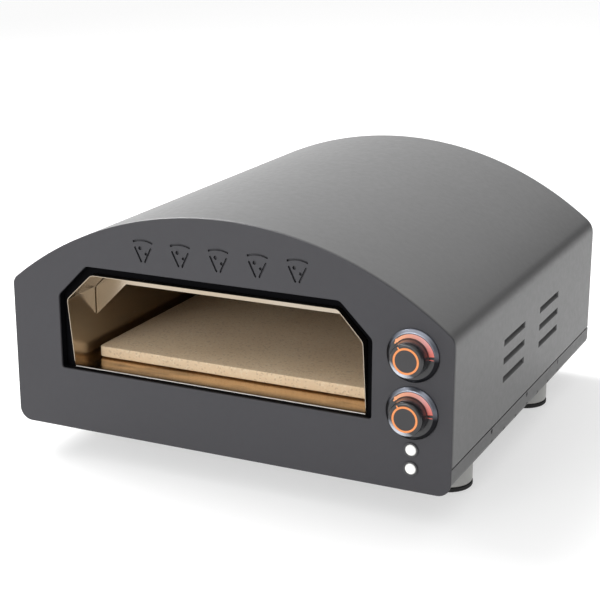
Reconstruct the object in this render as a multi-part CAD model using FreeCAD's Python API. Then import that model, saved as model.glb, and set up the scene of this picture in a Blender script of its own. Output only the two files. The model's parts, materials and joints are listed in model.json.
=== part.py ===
"""Countertop electric pizza oven: an arched sheet-steel body round a stainless baking chamber.

Millimetres. The oven is drawn with x across its front (+x to the right), y from the front
panel's face towards the back, and z up from the front panel's lower edge. export() then moves
every piece into the part's own frame, whose origin is on the worktop under the middle of the
oven's bounding box.
"""
import FreeCAD, Part
import math
import os

os.makedirs("parts", exist_ok=True)
V = FreeCAD.Vector

# ---------------------------------------------------------------- driving dimensions
BODY_W = 460.0            # width over the arched shell
BODY_D = 462.6            # front panel face to rear panel face
PANEL_H = 230.0           # front panel height at the crown of the arch
SPRING_Z = 147.0          # height where the straight sides meet the arch
SHEET = 1.2               # painted sheet steel
PANEL_T = 2.0             # front panel plate
LINER_T = 1.0             # stainless chamber sheet
FOOT_DROP = 30.0          # worktop to the front panel's lower edge

PANEL_SHOULDER_R = 11.0   # rounding where the panel's side meets its arch
SHELL_SHOULDER_R = 19.5   # the same rounding on the shell
PANEL_CORNER_R = 13.0     # lower corners of the front panel
FLANGE_W = 14.0           # inturned flanges at both ends of the shell

MOUTH_X = -12.0           # middle of the mouth, left of the oven's middle
MOUTH_HALF_W = 165.0      # half width of the cut-out in the front panel
MOUTH_LOW = 62.5
MOUTH_TOP = 169.3
MOUTH_CHAMFER = 32.0
MOUTH_RETURN = 9.5        # depth of the turned-in edge round the cut-out

LINER_HALF_W = 155.5      # inner half width of the chamber
FLOOR_TOP = 62.7
LINER_TOP = 159.4
LINER_CHAMFER = 26.0
RAKE_FRONT_Y = 0.6        # foremost point of the liner's side edges, at the shoulder
RAKE_LOW_Y = 9.8          # the same edge at the floor
RAKE_TOP_Y = 3.6          # and at the ceiling
BAFFLE_Y = 50.2
BAFFLE_OPEN_TOP = 140.0
BAFFLE_CHAMFER = 35.0
CHAMBER_BACK_Y = 355.0

STONE_HALF_W = 148.0
STONE_T = 11.0
STONE_FRONT_Y = 41.0
STONE_GAP = 0.3           # air between the stone and its rests
REST_H = 1.0
WELL_HALF_W = 126.0       # floor opening over the lower element
WELL_Y0, WELL_Y1 = 64.0, 326.0

TRAY_UNDER = 4.5          # underside of the base tray
TRAY_TOP = 26.0           # top of its upturned sides
SEAM = 1.4                # gap between tray and shell
TRAY_BEND_R = 10.0

FOOT_X = 191.5
FOOT_Y = (98.0, 344.0)
FOOT_R = 25.0
PAD_T = 4.5

KNOB_X = 192.0
KNOB_Z = {"upper": 128.7, "lower": 75.0}
LAMP_Z = {"upper": 40.0, "lower": 22.0}
POINTER_DEG = -33.0       # pointer at rest, clockwise from twelve o'clock
BEZEL_R = 24.7
BEZEL_FACE_Y = -4.0
KNOB_SKIRT_R = 16.8
KNOB_FACE_R = 14.8
KNOB_FACE_Y = -18.3
SPINDLE_R = 3.0
RUNNING_FIT = 0.05

REAR_HEAD_H = 2.2         # rear screw heads stand this far out
INLET_X, INLET_Z = 150.0, 48.0

HALF_W = BODY_W / 2
RISE = PANEL_H - SPRING_Z
ARCH_R = (HALF_W ** 2 + RISE ** 2) / (2 * RISE)
ARCH_CZ = PANEL_H - ARCH_R
SHELL_Y0 = PANEL_T
SHELL_Y1 = BODY_D - SHEET
SHOULDER_Z = LINER_TOP - LINER_CHAMFER
FLOOR_UNDER = FLOOR_TOP - SHEET
STONE_LOW = FLOOR_TOP + REST_H + STONE_GAP
Y_MIDDLE = (KNOB_FACE_Y + BODY_D + REAR_HEAD_H) / 2


# ---------------------------------------------------------------- drawing helpers
def export(name, *solids):
    """Moves the solids into the part's frame and writes them as one STEP file."""
    shape = solids[0] if len(solids) == 1 else Part.makeCompound(list(solids))
    shape = shape.copy()
    shape.translate(V(0, -Y_MIDDLE, FOOT_DROP))
    if not shape.isValid():
        print("not valid:", name)
    print(f"{name:24s} solids {len(shape.Solids):3d}  volume {shape.Volume / 1000:9.2f} cm3")
    shape.exportStep(f"parts/{name}.step")


def box(x0, x1, y0, y1, z0, z1):
    return Part.makeBox(x1 - x0, y1 - y0, z1 - z0, V(x0, y0, z0))


def rod_x(y, z, r, x0, x1):
    return Part.makeCylinder(r, x1 - x0, V(x0, y, z), V(1, 0, 0))


def rod_y(x, z, r, y0, y1):
    return Part.makeCylinder(r, y1 - y0, V(x, y0, z), V(0, 1, 0))


def rod_z(x, y, r, z0, z1):
    return Part.makeCylinder(r, z1 - z0, V(x, y, z0), V(0, 0, 1))


def prism_y(points, y0, y1):
    """A polygon of (x, z) points carried from y0 to y1."""
    corners = [V(x, y0, z) for x, z in points]
    return Part.Face(Part.makePolygon(corners + corners[:1])).extrude(V(0, y1 - y0, 0))


def prism_x(points, x0, x1):
    """A polygon of (y, z) points carried from x0 to x1."""
    corners = [V(x0, y, z) for y, z in points]
    return Part.Face(Part.makePolygon(corners + corners[:1])).extrude(V(x1 - x0, 0, 0))


def turned_y(profile, x, z):
    """A profile of (radius, y) points turned about the line through (x, z) along y."""
    corners = [V(x + r, y, z) for r, y in profile]
    face = Part.Face(Part.makePolygon(corners + corners[:1]))
    return face.revolve(V(x, 0, z), V(0, 1, 0), 360)


def hexagon_z(x, y, across_flats, z0, z1):
    r = across_flats / math.sqrt(3)
    corners = [V(x + r * math.cos(a), y + r * math.sin(a), z0)
               for a in (math.radians(60 * i) for i in range(7))]
    return Part.Face(Part.makePolygon(corners)).extrude(V(0, 0, z1 - z0))


def hexagon_y(x, z, across_flats, y0, y1):
    r = across_flats / math.sqrt(3)
    return prism_y([(x + r * math.cos(a), z + r * math.sin(a))
                    for a in (math.radians(60 * i) for i in range(6))], y0, y1)


def slot_cutter(length, width, depth, centre, along, through):
    """An obround cutter: length end to end along one axis, run through another."""
    side = along.cross(through)
    r = width / 2
    half = length / 2 - r
    start = centre - through * (depth / 2)
    corners = [start + along * (half * i) + side * (r * j)
               for i, j in ((-1, -1), (1, -1), (1, 1), (-1, 1), (-1, -1))]
    block = Part.Face(Part.makePolygon(corners)).extrude(through * depth)
    ends = [Part.makeCylinder(r, depth, start + along * (half * i), through) for i in (-1, 1)]
    return block.multiFuse(ends).removeSplitter()


def bent_tube(points, bend_r, tube_r):
    """A round tube along straight runs, each corner rounded to bend_r."""
    pts = [V(*p) for p in points]
    edges = []
    start = pts[0]
    for before, corner, after in zip(pts, pts[1:], pts[2:]):
        u = (before - corner).normalize()
        w = (after - corner).normalize()
        half_angle = u.getAngle(w) / 2
        reach = bend_r / math.tan(half_angle)
        p_in, p_out = corner + u * reach, corner + w * reach
        middle_dir = (u + w).normalize()
        centre = corner + middle_dir * (bend_r / math.sin(half_angle))
        if (p_in - start).Length > 1e-6:
            edges.append(Part.LineSegment(start, p_in).toShape())
        edges.append(Part.Arc(p_in, centre - middle_dir * bend_r, p_out).toShape())
        start = p_out
    edges.append(Part.LineSegment(start, pts[-1]).toShape())
    path = Part.Wire(edges)
    section = Part.Wire(Part.makeCircle(tube_r, pts[0], pts[1] - pts[0]))
    return path.makePipeShell([section], True, False)


def arch_face(inset, shoulder_r, y, z_low, corner_r=0.0):
    """The body's arched outline at depth y, moved inwards by inset and cut off at z_low.

    The arch and its shoulder roundings stay concentric as the outline shrinks. With corner_r
    the two lower corners are rounded as well.
    """
    half = HALF_W - inset
    big_r = ARCH_R - inset
    r = shoulder_r - inset
    cx = half - r
    cz = ARCH_CZ + math.sqrt((big_r - r) ** 2 - cx ** 2)
    reach = big_r / (big_r - r)
    tx, tz = cx * reach, ARCH_CZ + (cz - ARCH_CZ) * reach
    turn = math.atan2(tz - cz, tx - cx) / 2
    mx, mz = cx + r * math.cos(turn), cz + r * math.sin(turn)
    c = corner_r
    k = c * (1 - math.sqrt(0.5))

    def line(x0, z0, x1, z1):
        return Part.LineSegment(V(x0, y, z0), V(x1, y, z1)).toShape()

    def arc(x0, z0, x1, z1, x2, z2):
        return Part.Arc(V(x0, y, z0), V(x1, y, z1), V(x2, y, z2)).toShape()

    edges = [line(half, z_low + c, half, cz),
             arc(half, cz, mx, mz, tx, tz),
             arc(tx, tz, 0, ARCH_CZ + big_r, -tx, tz),
             arc(-tx, tz, -mx, mz, -half, cz),
             line(-half, cz, -half, z_low + c)]
    if c:
        edges.append(arc(-half, z_low + c, -half + k, z_low + k, -half + c, z_low))
    edges.append(line(-half + c, z_low, half - c, z_low))
    if c:
        edges.append(arc(half - c, z_low, half - k, z_low + k, half, z_low + c))
    return Part.Face(Part.Wire(edges))


def arch_solid(inset, shoulder_r, y0, y1, z_low, corner_r=0.0):
    return arch_face(inset, shoulder_r, y0, z_low, corner_r).extrude(V(0, y1 - y0, 0))


def tunnel_points(half_w, low, top, chamfer, grow=0.0):
    """The six corners of the mouth's outline: a box with its upper corners cut at 45 degrees.

    grow moves every side outwards and keeps the cut corners parallel.
    """
    w = half_w + grow
    t = top + grow
    c = chamfer + grow * (2 - math.sqrt(2))
    return [(MOUTH_X - w, low), (MOUTH_X - w, t - c), (MOUTH_X - w + c, t),
            (MOUTH_X + w - c, t), (MOUTH_X + w, t - c), (MOUTH_X + w, low)]


def stud_places():
    """(x, z) of the welded studs that hold the front panel, on the middle of the flanges."""
    middle = FLANGE_W / 2
    arch_r = ARCH_R - middle
    places = []
    for side in (-1, 1):
        places += [(side * (HALF_W - middle), z) for z in (48.0, 128.0)]
        places += [(side * x, ARCH_CZ + math.sqrt(arch_r ** 2 - x ** 2)) for x in (62.0, 152.0)]
        places.append((side * 150.0, 17.0))
    return places


# ---------------------------------------------------------------- front panel
MOTIF_PITCH = 40.0
MOTIF_Z = 191.0
MOTIF_H = 27.0
MOTIF_STROKE = 2.0
STUD_R = 2.0


def slice_motif(x):
    """Cutters for one stencilled slice: two straight strokes, a crust arc and two round holes."""
    tip = MOTIF_Z - MOTIF_H / 2
    crust_r = MOTIF_H - 4.0
    spread = math.radians(26.0)
    cutters = []
    for side in (-1, 1):
        along = V(side * math.sin(spread), 0, math.cos(spread))
        centre = V(x, PANEL_T / 2, tip) + along * (crust_r * 0.52)
        cutters.append(slot_cutter(crust_r * 0.72, MOTIF_STROKE, PANEL_T + 2, centre,
                                   along, V(0, 1, 0)))
    outer = rod_y(x, tip, crust_r + 1.5 * MOTIF_STROKE, -1, PANEL_T + 1)
    inner = rod_y(x, tip, crust_r + 0.5 * MOTIF_STROKE, -2, PANEL_T + 2)
    reach = 60.0
    fan = spread * 0.96
    wedge = prism_y([(x, tip), (x - reach * math.sin(fan), tip + reach * math.cos(fan)),
                     (x + reach * math.sin(fan), tip + reach * math.cos(fan))], -1, PANEL_T + 1)
    cutters.append(outer.cut(inner).common(wedge))
    cutters.append(rod_y(x - 3.0, tip + crust_r * 0.74, 1.9, -1, PANEL_T + 1))
    cutters.append(rod_y(x + 3.2, tip + crust_r * 0.52, 1.5, -1, PANEL_T + 1))
    return cutters


def front_panel():
    plate = arch_solid(0, PANEL_SHOULDER_R, 0, PANEL_T, 0, PANEL_CORNER_R)
    outline = (MOUTH_HALF_W, MOUTH_LOW, MOUTH_TOP, MOUTH_CHAMFER)
    grown = tunnel_points(*outline, grow=SHEET)
    grown[0] = (grown[0][0], MOUTH_LOW - SHEET)
    grown[-1] = (grown[-1][0], MOUTH_LOW - SHEET)
    panel = plate.fuse(prism_y(grown, 0, MOUTH_RETURN))
    panel = panel.cut(prism_y(tunnel_points(*outline), -1, MOUTH_RETURN + 1))
    cutters = []
    for i in range(5):
        cutters += slice_motif((i - 2) * MOTIF_PITCH)
    for z in KNOB_Z.values():
        cutters.append(rod_y(KNOB_X, z, 5.5, -1, PANEL_T + 1))
        for side in (-1, 1):
            cutters.append(rod_y(KNOB_X + side * 14.0, z, 2.1, -1, PANEL_T + 1))
    for z in LAMP_Z.values():
        cutters.append(rod_y(KNOB_X, z, LAMP_BARREL_R, -1, PANEL_T + 1))
    panel = panel.cut(Part.makeCompound(cutters))
    studs = [rod_y(x, z, STUD_R, PANEL_T, PANEL_T + 11) for x, z in stud_places()]
    return panel.multiFuse(studs).removeSplitter()


def stencil_backing():
    """A plate behind the stencilled row, so that the insulation can't be seen through it."""
    plate = box(-104, 104, PANEL_T, PANEL_T + SHEET, 171.8, 209.0)
    return plate.common(arch_solid(FLANGE_W + 0.5, SHELL_SHOULDER_R, 0, 10, 0))


def front_panel_nuts():
    nuts = []
    for x, z in stud_places():
        nut = hexagon_y(x, z, 7.0, PANEL_T + SHEET, PANEL_T + SHEET + 3.2)
        nuts.append(nut.cut(rod_y(x, z, STUD_R, 0, 20)))
    return nuts


def mouth_collar():
    """Black enamelled frame that closes the gap between the panel's turned-in edge and the liner."""
    y0 = MOUTH_RETURN + 1.5
    y1 = y0 + 2.5
    low = 50.0
    outer = prism_y(tunnel_points(MOUTH_HALF_W, low, MOUTH_TOP, MOUTH_CHAMFER, grow=6.0), y0, y1)
    hole = tunnel_points(LINER_HALF_W, low - 1, LINER_TOP, LINER_CHAMFER, grow=LINER_T)
    return outer.cut(prism_y(hole, y0 - 1, y1 + 1))


# ---------------------------------------------------------------- outer casing
LOUVRE_Y = (176.0, 293.5)
LOUVRE_Z = (102.3, 83.8, 65.3)
LOUVRE_L = 67.0
LOUVRE_H = 6.6
LOUVRE_DEPTH = 5.0
SIDE_SCREW_Y = (114.0, 226.0, 338.0)
SIDE_SCREW_Z = 23.0
LAP_LOW = 15.0            # the shell's lap strip runs down behind the tray's side


def outer_shell():
    """One bent sheet: sides, rounded shoulders and arch, with a flange at each end."""
    z0 = TRAY_TOP + SEAM
    body = arch_solid(0, SHELL_SHOULDER_R, SHELL_Y0, SHELL_Y1, z0)
    rim = [e for e in body.Edges if all(abs(v.Y - SHELL_Y0) < 1e-6 for v in e.Vertexes)
           and e.BoundBox.ZMax > z0 + 1]
    body = body.makeFillet(2.5, rim)
    body = body.cut(arch_solid(SHEET, SHELL_SHOULDER_R, SHELL_Y0 + SHEET, SHELL_Y1 - SHEET, 0))
    body = body.cut(arch_solid(FLANGE_W, SHELL_SHOULDER_R, 0, BODY_D, 0))
    pieces = []
    cutters = [rod_y(x, z, 2.2, 0, 10) for x, z in stud_places()]
    cutters += [rod_y(x, z, 1.6, SHELL_Y1 - 5, SHELL_Y1 + 5) for x, z in rear_screw_places()]
    for side in (-1, 1):
        outer = side * HALF_W
        inner = side * (HALF_W - SHEET)
        deep = side * (HALF_W - LOUVRE_DEPTH)
        lap = sorted((inner, inner - side * SHEET))
        pieces.append(box(*lap, SHELL_Y0 + SHEET, SHELL_Y1 - SHEET, LAP_LOW, z0 + 14))
        for y in LOUVRE_Y:
            for z in LOUVRE_Z:
                y0, y1 = y - LOUVRE_L / 2, y + LOUVRE_L / 2
                low, high = z - LOUVRE_H / 2, z + LOUVRE_H / 2
                wall = sorted((inner - side, outer + side))
                cutters.append(box(*wall, y0, y1, low, high))
                blade = [(outer, low), (deep, high - 1.2), (deep - side * SHEET, high - 1.6),
                         (inner, low - 1.0), (outer, low - 1.0)]
                pieces.append(prism_y(blade, y0, y1))
                cheek = [(outer, low - 1.0), (outer, high), (deep - side * SHEET, high - 1.2),
                         (inner, low - 1.0)]
                pieces.append(prism_y(cheek, y0 - SHEET, y0))
                pieces.append(prism_y(cheek, y1, y1 + SHEET))
        for y in SIDE_SCREW_Y:
            cutters.append(rod_x(y, SIDE_SCREW_Z, 1.6, *sorted((inner - 5 * side, inner + side))))
    louvre_and_holes = Part.makeCompound(cutters)
    laps = [p.cut(louvre_and_holes) if p.BoundBox.YLength > BODY_D / 2 else p for p in pieces]
    return body.cut(louvre_and_holes).multiFuse(laps).removeSplitter()


def rear_screw_places():
    """(x, z) of the rear panel's screws, on the middle of the shell's rear flange."""
    middle = FLANGE_W / 2
    arch_r = ARCH_R - middle
    places = [(side * (HALF_W - middle), z) for side in (-1, 1) for z in (42.0, 128.0)]
    places += [(x, ARCH_CZ + math.sqrt(arch_r ** 2 - x ** 2)) for x in (-150.0, 0.0, 150.0)]
    places += [(x, 16.0) for x in (-150.0, 0.0, 150.0)]
    return places


def rear_panel():
    y0, y1 = SHELL_Y1, BODY_D
    panel = arch_solid(2.0, SHELL_SHOULDER_R, y0, y1, TRAY_UNDER + 2.0, 6.0)
    cutters = [rod_y(x, z, 2.2, y0 - 1, y1 + 1) for x, z in rear_screw_places()]
    cutters.append(box(INLET_X - 14.2, INLET_X + 14.2, y0 - 1, y1 + 1, INLET_Z - 10.2, INLET_Z + 10.2))
    for side in (-1, 1):
        cutters.append(rod_y(INLET_X + side * 20.0, INLET_Z, 1.7, y0 - 1, y1 + 1))
    for row in range(3):
        for col in range(7):
            centre = V((col - 3) * 34.0, (y0 + y1) / 2, 152.0 + row * 12.0)
            cutters.append(slot_cutter(24.0, 4.0, SHEET + 2, centre, V(1, 0, 0), V(0, 1, 0)))
    return panel.cut(Part.makeCompound(cutters))


def rear_panel_screws():
    screws = []
    for x, z in rear_screw_places():
        head = turned_y([(0, BODY_D), (3.6, BODY_D), (3.6, BODY_D + 1.0), (2.4, BODY_D + REAR_HEAD_H),
                         (0, BODY_D + REAR_HEAD_H)], x, z)
        head = head.cut(box(x - 2.0, x + 2.0, BODY_D + 1.2, BODY_D + 3, z - 0.4, z + 0.4))
        head = head.cut(box(x - 0.4, x + 0.4, BODY_D + 1.2, BODY_D + 3, z - 2.0, z + 2.0))
        screws.append(head.fuse(rod_y(x, z, 1.6, BODY_D - 9, BODY_D)))
    return screws


VENT_Y = [116.0 + 37.4 * i for i in range(7)]


def base_tray():
    """Folded base: floor, two sides with a large bend, and low flanges front and back."""
    def trough(inset, z_top, y0, y1):
        block = box(-HALF_W + inset, HALF_W - inset, y0, y1, TRAY_UNDER + inset, z_top)
        lower = [e for e in block.Edges if abs(e.Vertexes[0].Z - TRAY_UNDER - inset) < 1e-6
                 and e.BoundBox.YLength > 100]
        return block.makeFillet(TRAY_BEND_R - inset, lower)

    tray = trough(0, TRAY_TOP, SHELL_Y0, SHELL_Y1)
    tray = tray.cut(trough(SHEET, TRAY_TOP + 1, SHELL_Y0 + SHEET, SHELL_Y1 - SHEET))
    cutters = []
    for side in (-1, 1):
        for y in VENT_Y:
            lean = math.radians(40)
            across = V(side * math.cos(lean), 0, -math.sin(lean))
            centre = V(side * (HALF_W - TRAY_BEND_R), y, TRAY_UNDER + TRAY_BEND_R) + across * 8.5
            along = V(side * math.sin(lean), 0, math.cos(lean))
            cutters.append(slot_cutter(12.0, 4.6, 9.0, centre, along, across))
        for y in SIDE_SCREW_Y:
            cutters.append(rod_x(y, SIDE_SCREW_Z, 2.8, *sorted((side * 220, side * 240))))
        for y in FOOT_Y:
            cutters.append(rod_z(side * FOOT_X, y, 3.2, 0, 10))
    cutters.append(rod_y(KNOB_X, LAMP_Z["lower"], LAMP_BARREL_R + 1.5, 0, 10))
    cutters += [rod_y(x, z, 2.2, 0, 10) for x, z in stud_places() if z < TRAY_TOP]
    cutters += [rod_y(x, z, 1.6, SHELL_Y1 - 5, SHELL_Y1 + 5)
                for x, z in rear_screw_places() if z < TRAY_TOP]
    for row in range(4):
        for col in range(5):
            centre = V(MOUTH_X + (col - 2) * 40.0, 150.0 + row * 40.0, TRAY_UNDER + SHEET / 2)
            cutters.append(slot_cutter(26.0, 4.0, SHEET + 2, centre, V(1, 0, 0), V(0, 0, 1)))
    return tray.cut(Part.makeCompound(cutters))


def shell_screws():
    screws = []
    for side in (-1, 1):
        for y in SIDE_SCREW_Y:
            face = side * HALF_W
            seat = side * (HALF_W - SHEET)
            head = rod_x(y, SIDE_SCREW_Z, 2.7, *sorted((face, seat)))
            slot = box(*sorted((face - side * 0.6, face + side)), y - 1.8, y + 1.8,
                       SIDE_SCREW_Z - 0.35, SIDE_SCREW_Z + 0.35)
            cross = box(*sorted((face - side * 0.6, face + side)), y - 0.35, y + 0.35,
                        SIDE_SCREW_Z - 1.8, SIDE_SCREW_Z + 1.8)
            shank = rod_x(y, SIDE_SCREW_Z, 1.6, *sorted((seat, seat - side * 7)))
            screws.append(head.cut(slot).cut(cross).fuse(shank))
    return screws


# ---------------------------------------------------------------- feet
FOOT_WALL = 2.0
PAD_HOLE_R = 8.0


def foot(x, y):
    """Turned cup with a central boss, open against the tray."""
    z0 = PAD_T - FOOT_DROP
    cup = rod_z(x, y, FOOT_R, z0, TRAY_UNDER)
    lower = [e for e in cup.Edges if e.BoundBox.ZMax < z0 + 1e-6]
    cup = cup.makeFillet(2.5, lower)
    cup = cup.cut(rod_z(x, y, FOOT_R - FOOT_WALL, z0 + 2 * FOOT_WALL, TRAY_UNDER + 1))
    cup = cup.fuse(rod_z(x, y, 7.0, z0 + FOOT_WALL, TRAY_UNDER))
    return cup.cut(rod_z(x, y, 3.2, z0 - 1, TRAY_UNDER + 1))


def foot_pad(x, y):
    z0 = -FOOT_DROP
    pad = rod_z(x, y, FOOT_R + 0.4, z0, z0 + PAD_T)
    pad = pad.makeFillet(1.0, [e for e in pad.Edges if e.BoundBox.ZMax < z0 + 1e-6])
    return pad.cut(rod_z(x, y, PAD_HOLE_R, z0 - 1, z0 + PAD_T + 1))


def foot_bolts():
    parts = []
    head_top = PAD_T - FOOT_DROP
    nut_z = TRAY_UNDER + SHEET
    for side in (-1, 1):
        for y in FOOT_Y:
            x = side * FOOT_X
            head = hexagon_z(x, y, 10.0, head_top - 3.8, head_top)
            parts.append(head.fuse(rod_z(x, y, 3.0, head_top, nut_z + 7)))
            parts.append(hexagon_z(x, y, 10.0, nut_z, nut_z + 5).cut(rod_z(x, y, 3.0, 0, 40)))
    return parts


# ---------------------------------------------------------------- baking chamber
def section(grow, low, y0, y1):
    """A block with the liner's inner section, moved outwards by grow."""
    return prism_y(tunnel_points(LINER_HALF_W, low, LINER_TOP, LINER_CHAMFER, grow), y0, y1)


def chamber_liner():
    """Bent stainless sheet: both walls, the cut corners and the ceiling, raked at its mouth."""
    liner = section(LINER_T, FLOOR_UNDER, 0, CHAMBER_BACK_Y)
    liner = liner.cut(section(0, 0, -1, CHAMBER_BACK_Y + 1))
    rake = prism_x([(-5, 0), (RAKE_LOW_Y, 0), (RAKE_LOW_Y, FLOOR_TOP), (RAKE_FRONT_Y, SHOULDER_Z),
                    (RAKE_TOP_Y, LINER_TOP), (RAKE_TOP_Y, 220), (-5, 220)], -HALF_W, HALF_W)
    liner = liner.cut(rake)
    wall = MOUTH_X + LINER_HALF_W
    return liner.cut(rod_x(BULB_Y, BULB_Z["upper"], 1.2, wall - 2, wall + 4))


def chamber_floor():
    """Polished deck with a turned-down front lip and a well opening over the lower element."""
    x0, x1 = MOUTH_X - LINER_HALF_W, MOUTH_X + LINER_HALF_W
    deck = box(x0, x1, RAKE_LOW_Y, CHAMBER_BACK_Y, FLOOR_UNDER, FLOOR_TOP)
    deck = deck.fuse(box(x0, x1, RAKE_LOW_Y, RAKE_LOW_Y + SHEET, 50.0, FLOOR_TOP))
    front = [e for e in deck.Edges if e.BoundBox.YMax < RAKE_LOW_Y + 1e-6
             and e.BoundBox.ZMin > FLOOR_TOP - 1e-6]
    deck = deck.makeFillet(0.9, front)
    well = box(MOUTH_X - WELL_HALF_W, MOUTH_X + WELL_HALF_W, WELL_Y0, WELL_Y1, 0, 100)
    corners = [e for e in well.Edges if e.BoundBox.ZLength > 50]
    return deck.cut(well.makeFillet(12.0, corners))


def chamber_back():
    plate = section(LINER_T, FLOOR_UNDER, CHAMBER_BACK_Y, CHAMBER_BACK_Y + LINER_T)
    holes = [rod_y(MOUTH_X + side * TERMINAL_X, UPPER_ELEMENT_Z, BUSH_R, 0, 500) for side in (-1, 1)]
    return plate.cut(Part.makeCompound(holes))


def mouth_baffle():
    """Plate across the top of the chamber, just inside the mouth, that hides the element."""
    plate = section(0, BAFFLE_OPEN_TOP - BAFFLE_CHAMFER, BAFFLE_Y, BAFFLE_Y + LINER_T)
    w = LINER_HALF_W
    top = BAFFLE_OPEN_TOP
    opening = [(MOUTH_X - w, 0), (MOUTH_X - w, top - BAFFLE_CHAMFER), (MOUTH_X - w + BAFFLE_CHAMFER, top),
               (MOUTH_X + w - BAFFLE_CHAMFER, top), (MOUTH_X + w, top - BAFFLE_CHAMFER), (MOUTH_X + w, 0)]
    return plate.cut(prism_y(opening, 0, 100))


PAN_HALF_W = WELL_HALF_W + 4.0
PAN_Y0, PAN_Y1 = WELL_Y0 - 4.0, WELL_Y1 + 4.0
PAN_LOW = 38.0


def element_pan():
    """Stainless pan hung under the deck, with a flange against the deck's underside."""
    x0, x1 = MOUTH_X - PAN_HALF_W, MOUTH_X + PAN_HALF_W
    pan = box(x0 - 8, x1 + 8, PAN_Y0 - 8, PAN_Y1 + 8, FLOOR_UNDER - LINER_T, FLOOR_UNDER)
    pan = pan.fuse(box(x0, x1, PAN_Y0, PAN_Y1, PAN_LOW, FLOOR_UNDER))
    pan = pan.cut(box(x0 + LINER_T, x1 - LINER_T, PAN_Y0 + LINER_T, PAN_Y1 - LINER_T,
                      PAN_LOW + LINER_T, FLOOR_TOP))
    holes = [rod_y(MOUTH_X + side * TERMINAL_X, LOWER_ELEMENT_Z, BUSH_R, PAN_Y1 - 4, PAN_Y1 + 4)
             for side in (-1, 1)]
    holes.append(rod_x(BULB_Y, BULB_Z["lower"], 1.2, x1 - 4, x1 + 4))
    return pan.cut(Part.makeCompound(holes))


def stone_rests():
    """Four pressed buttons that lift the stone off the deck."""
    rests = []
    for side in (-1, 1):
        for y in (STONE_FRONT_Y + 10.0, WELL_Y1 + 5.5):
            button = rod_z(MOUTH_X + side * 138.0, y, 4.0, FLOOR_TOP, FLOOR_TOP + REST_H)
            rim = [e for e in button.Edges if e.BoundBox.ZMin > FLOOR_TOP + REST_H - 1e-6]
            rests.append(button.makeFillet(0.5, rim))
    return rests


def pizza_stone():
    x0, x1 = MOUTH_X - STONE_HALF_W, MOUTH_X + STONE_HALF_W
    stone = box(x0, x1, STONE_FRONT_Y, STONE_FRONT_Y + 2 * STONE_HALF_W, STONE_LOW, STONE_LOW + STONE_T)
    stone = stone.makeFillet(4.0, [e for e in stone.Edges if e.BoundBox.ZLength > 1])
    flat = [e for e in stone.Edges if e.BoundBox.ZLength < 1e-6]
    return stone.makeFillet(1.2, flat)


def chamber_rail(side):
    """Z-section rail from the tray up to the deck, outside the element pan."""
    web = MOUTH_X + side * 144.0
    inner = web - side * 1.5
    y0, y1 = 56.0, 340.0
    top, low = FLOOR_UNDER, TRAY_UNDER + SHEET
    rail = box(*sorted((web, inner)), y0, y1, low, top)
    rail = rail.fuse(box(*sorted((web, web + side * 11)), y0, y1, top - 1.5, top))
    rail = rail.fuse(box(*sorted((web, web + side * 15)), y0, y1, low, low + 1.5)).removeSplitter()
    return rail.cut(rod_x(BULB_Y, BULB_Z["lower"], 2.5, web - 5, web + 5))


def base_heat_shield():
    """Plate between the rails that carries the insulation under the pan."""
    reach = 142.5
    plate = box(MOUTH_X - reach, MOUTH_X + reach, 58, 338, 17.8, 19.0)
    for side in (-1, 1):
        edge = MOUTH_X + side * reach
        plate = plate.fuse(box(*sorted((edge, edge - side * SHEET)), 58, 338, 10.0, 19.0))
    return plate.removeSplitter()


# ---------------------------------------------------------------- insulation and shields
WOOL_T = 12.0


def insulation_jacket():
    low = FLOOR_UNDER
    y0, y1 = MOUTH_RETURN + 7.0, CHAMBER_BACK_Y
    jacket = section(LINER_T + WOOL_T, low, y0, y1).cut(section(LINER_T, 0, y0 - 1, y1 + 1))
    wall = MOUTH_X + LINER_HALF_W
    return jacket.cut(rod_x(CUTOUT_Y, CUTOUT_Z, 11.0, wall, wall + 20)).cut(
        rod_x(BULB_Y, BULB_Z["upper"], 3.0, wall, wall + 20))


def insulation_rear():
    y0 = CHAMBER_BACK_Y + LINER_T
    slab = section(LINER_T + WOOL_T, FLOOR_UNDER, y0, y0 + WOOL_T)
    holes = [rod_y(MOUTH_X + side * TERMINAL_X, UPPER_ELEMENT_Z, BUSH_R + 1, 0, 500) for side in (-1, 1)]
    return slab.cut(Part.makeCompound(holes))


def insulation_base():
    return box(MOUTH_X - PAN_HALF_W, MOUTH_X + PAN_HALF_W, PAN_Y0, PAN_Y1, 19.0, PAN_LOW)


BULKHEAD_X = 162.0


def control_bulkhead():
    """Upright shield between the hot chamber and the controls, with a foot on the tray."""
    low = TRAY_UNDER + SHEET
    plate = box(BULKHEAD_X, BULKHEAD_X + SHEET, 20, 440, low, 184.0)
    plate = plate.fuse(box(BULKHEAD_X, BULKHEAD_X + 12, 20, 440, low, low + SHEET))
    holes = [slot_cutter(60.0, 5.0, 10.0, V(BULKHEAD_X, 120.0 + 75.0 * i, 165.0), V(0, 1, 0), V(1, 0, 0))
             for i in range(4)]
    holes.append(rod_x(BULB_Y, BULB_Z["upper"], 3.0, 150, 170))
    holes.append(rod_x(BULB_Y, BULB_Z["lower"], 3.0, 150, 170))
    holes.append(rod_x(CUTOUT_Y, CUTOUT_Z, 9.0, 150, 170))
    holes.append(rod_x(BLOCK_Y - 18, 56.0, 7.0, 150, 170))
    return plate.cut(Part.makeCompound(holes))


# ---------------------------------------------------------------- heating elements
ELEMENT_R = 4.0
UPPER_ELEMENT_Z = 150.0
LOWER_ELEMENT_Z = 50.0
TERMINAL_X = 22.5
BUSH_R = 6.5
LOOP_PITCH = 45.0


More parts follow.
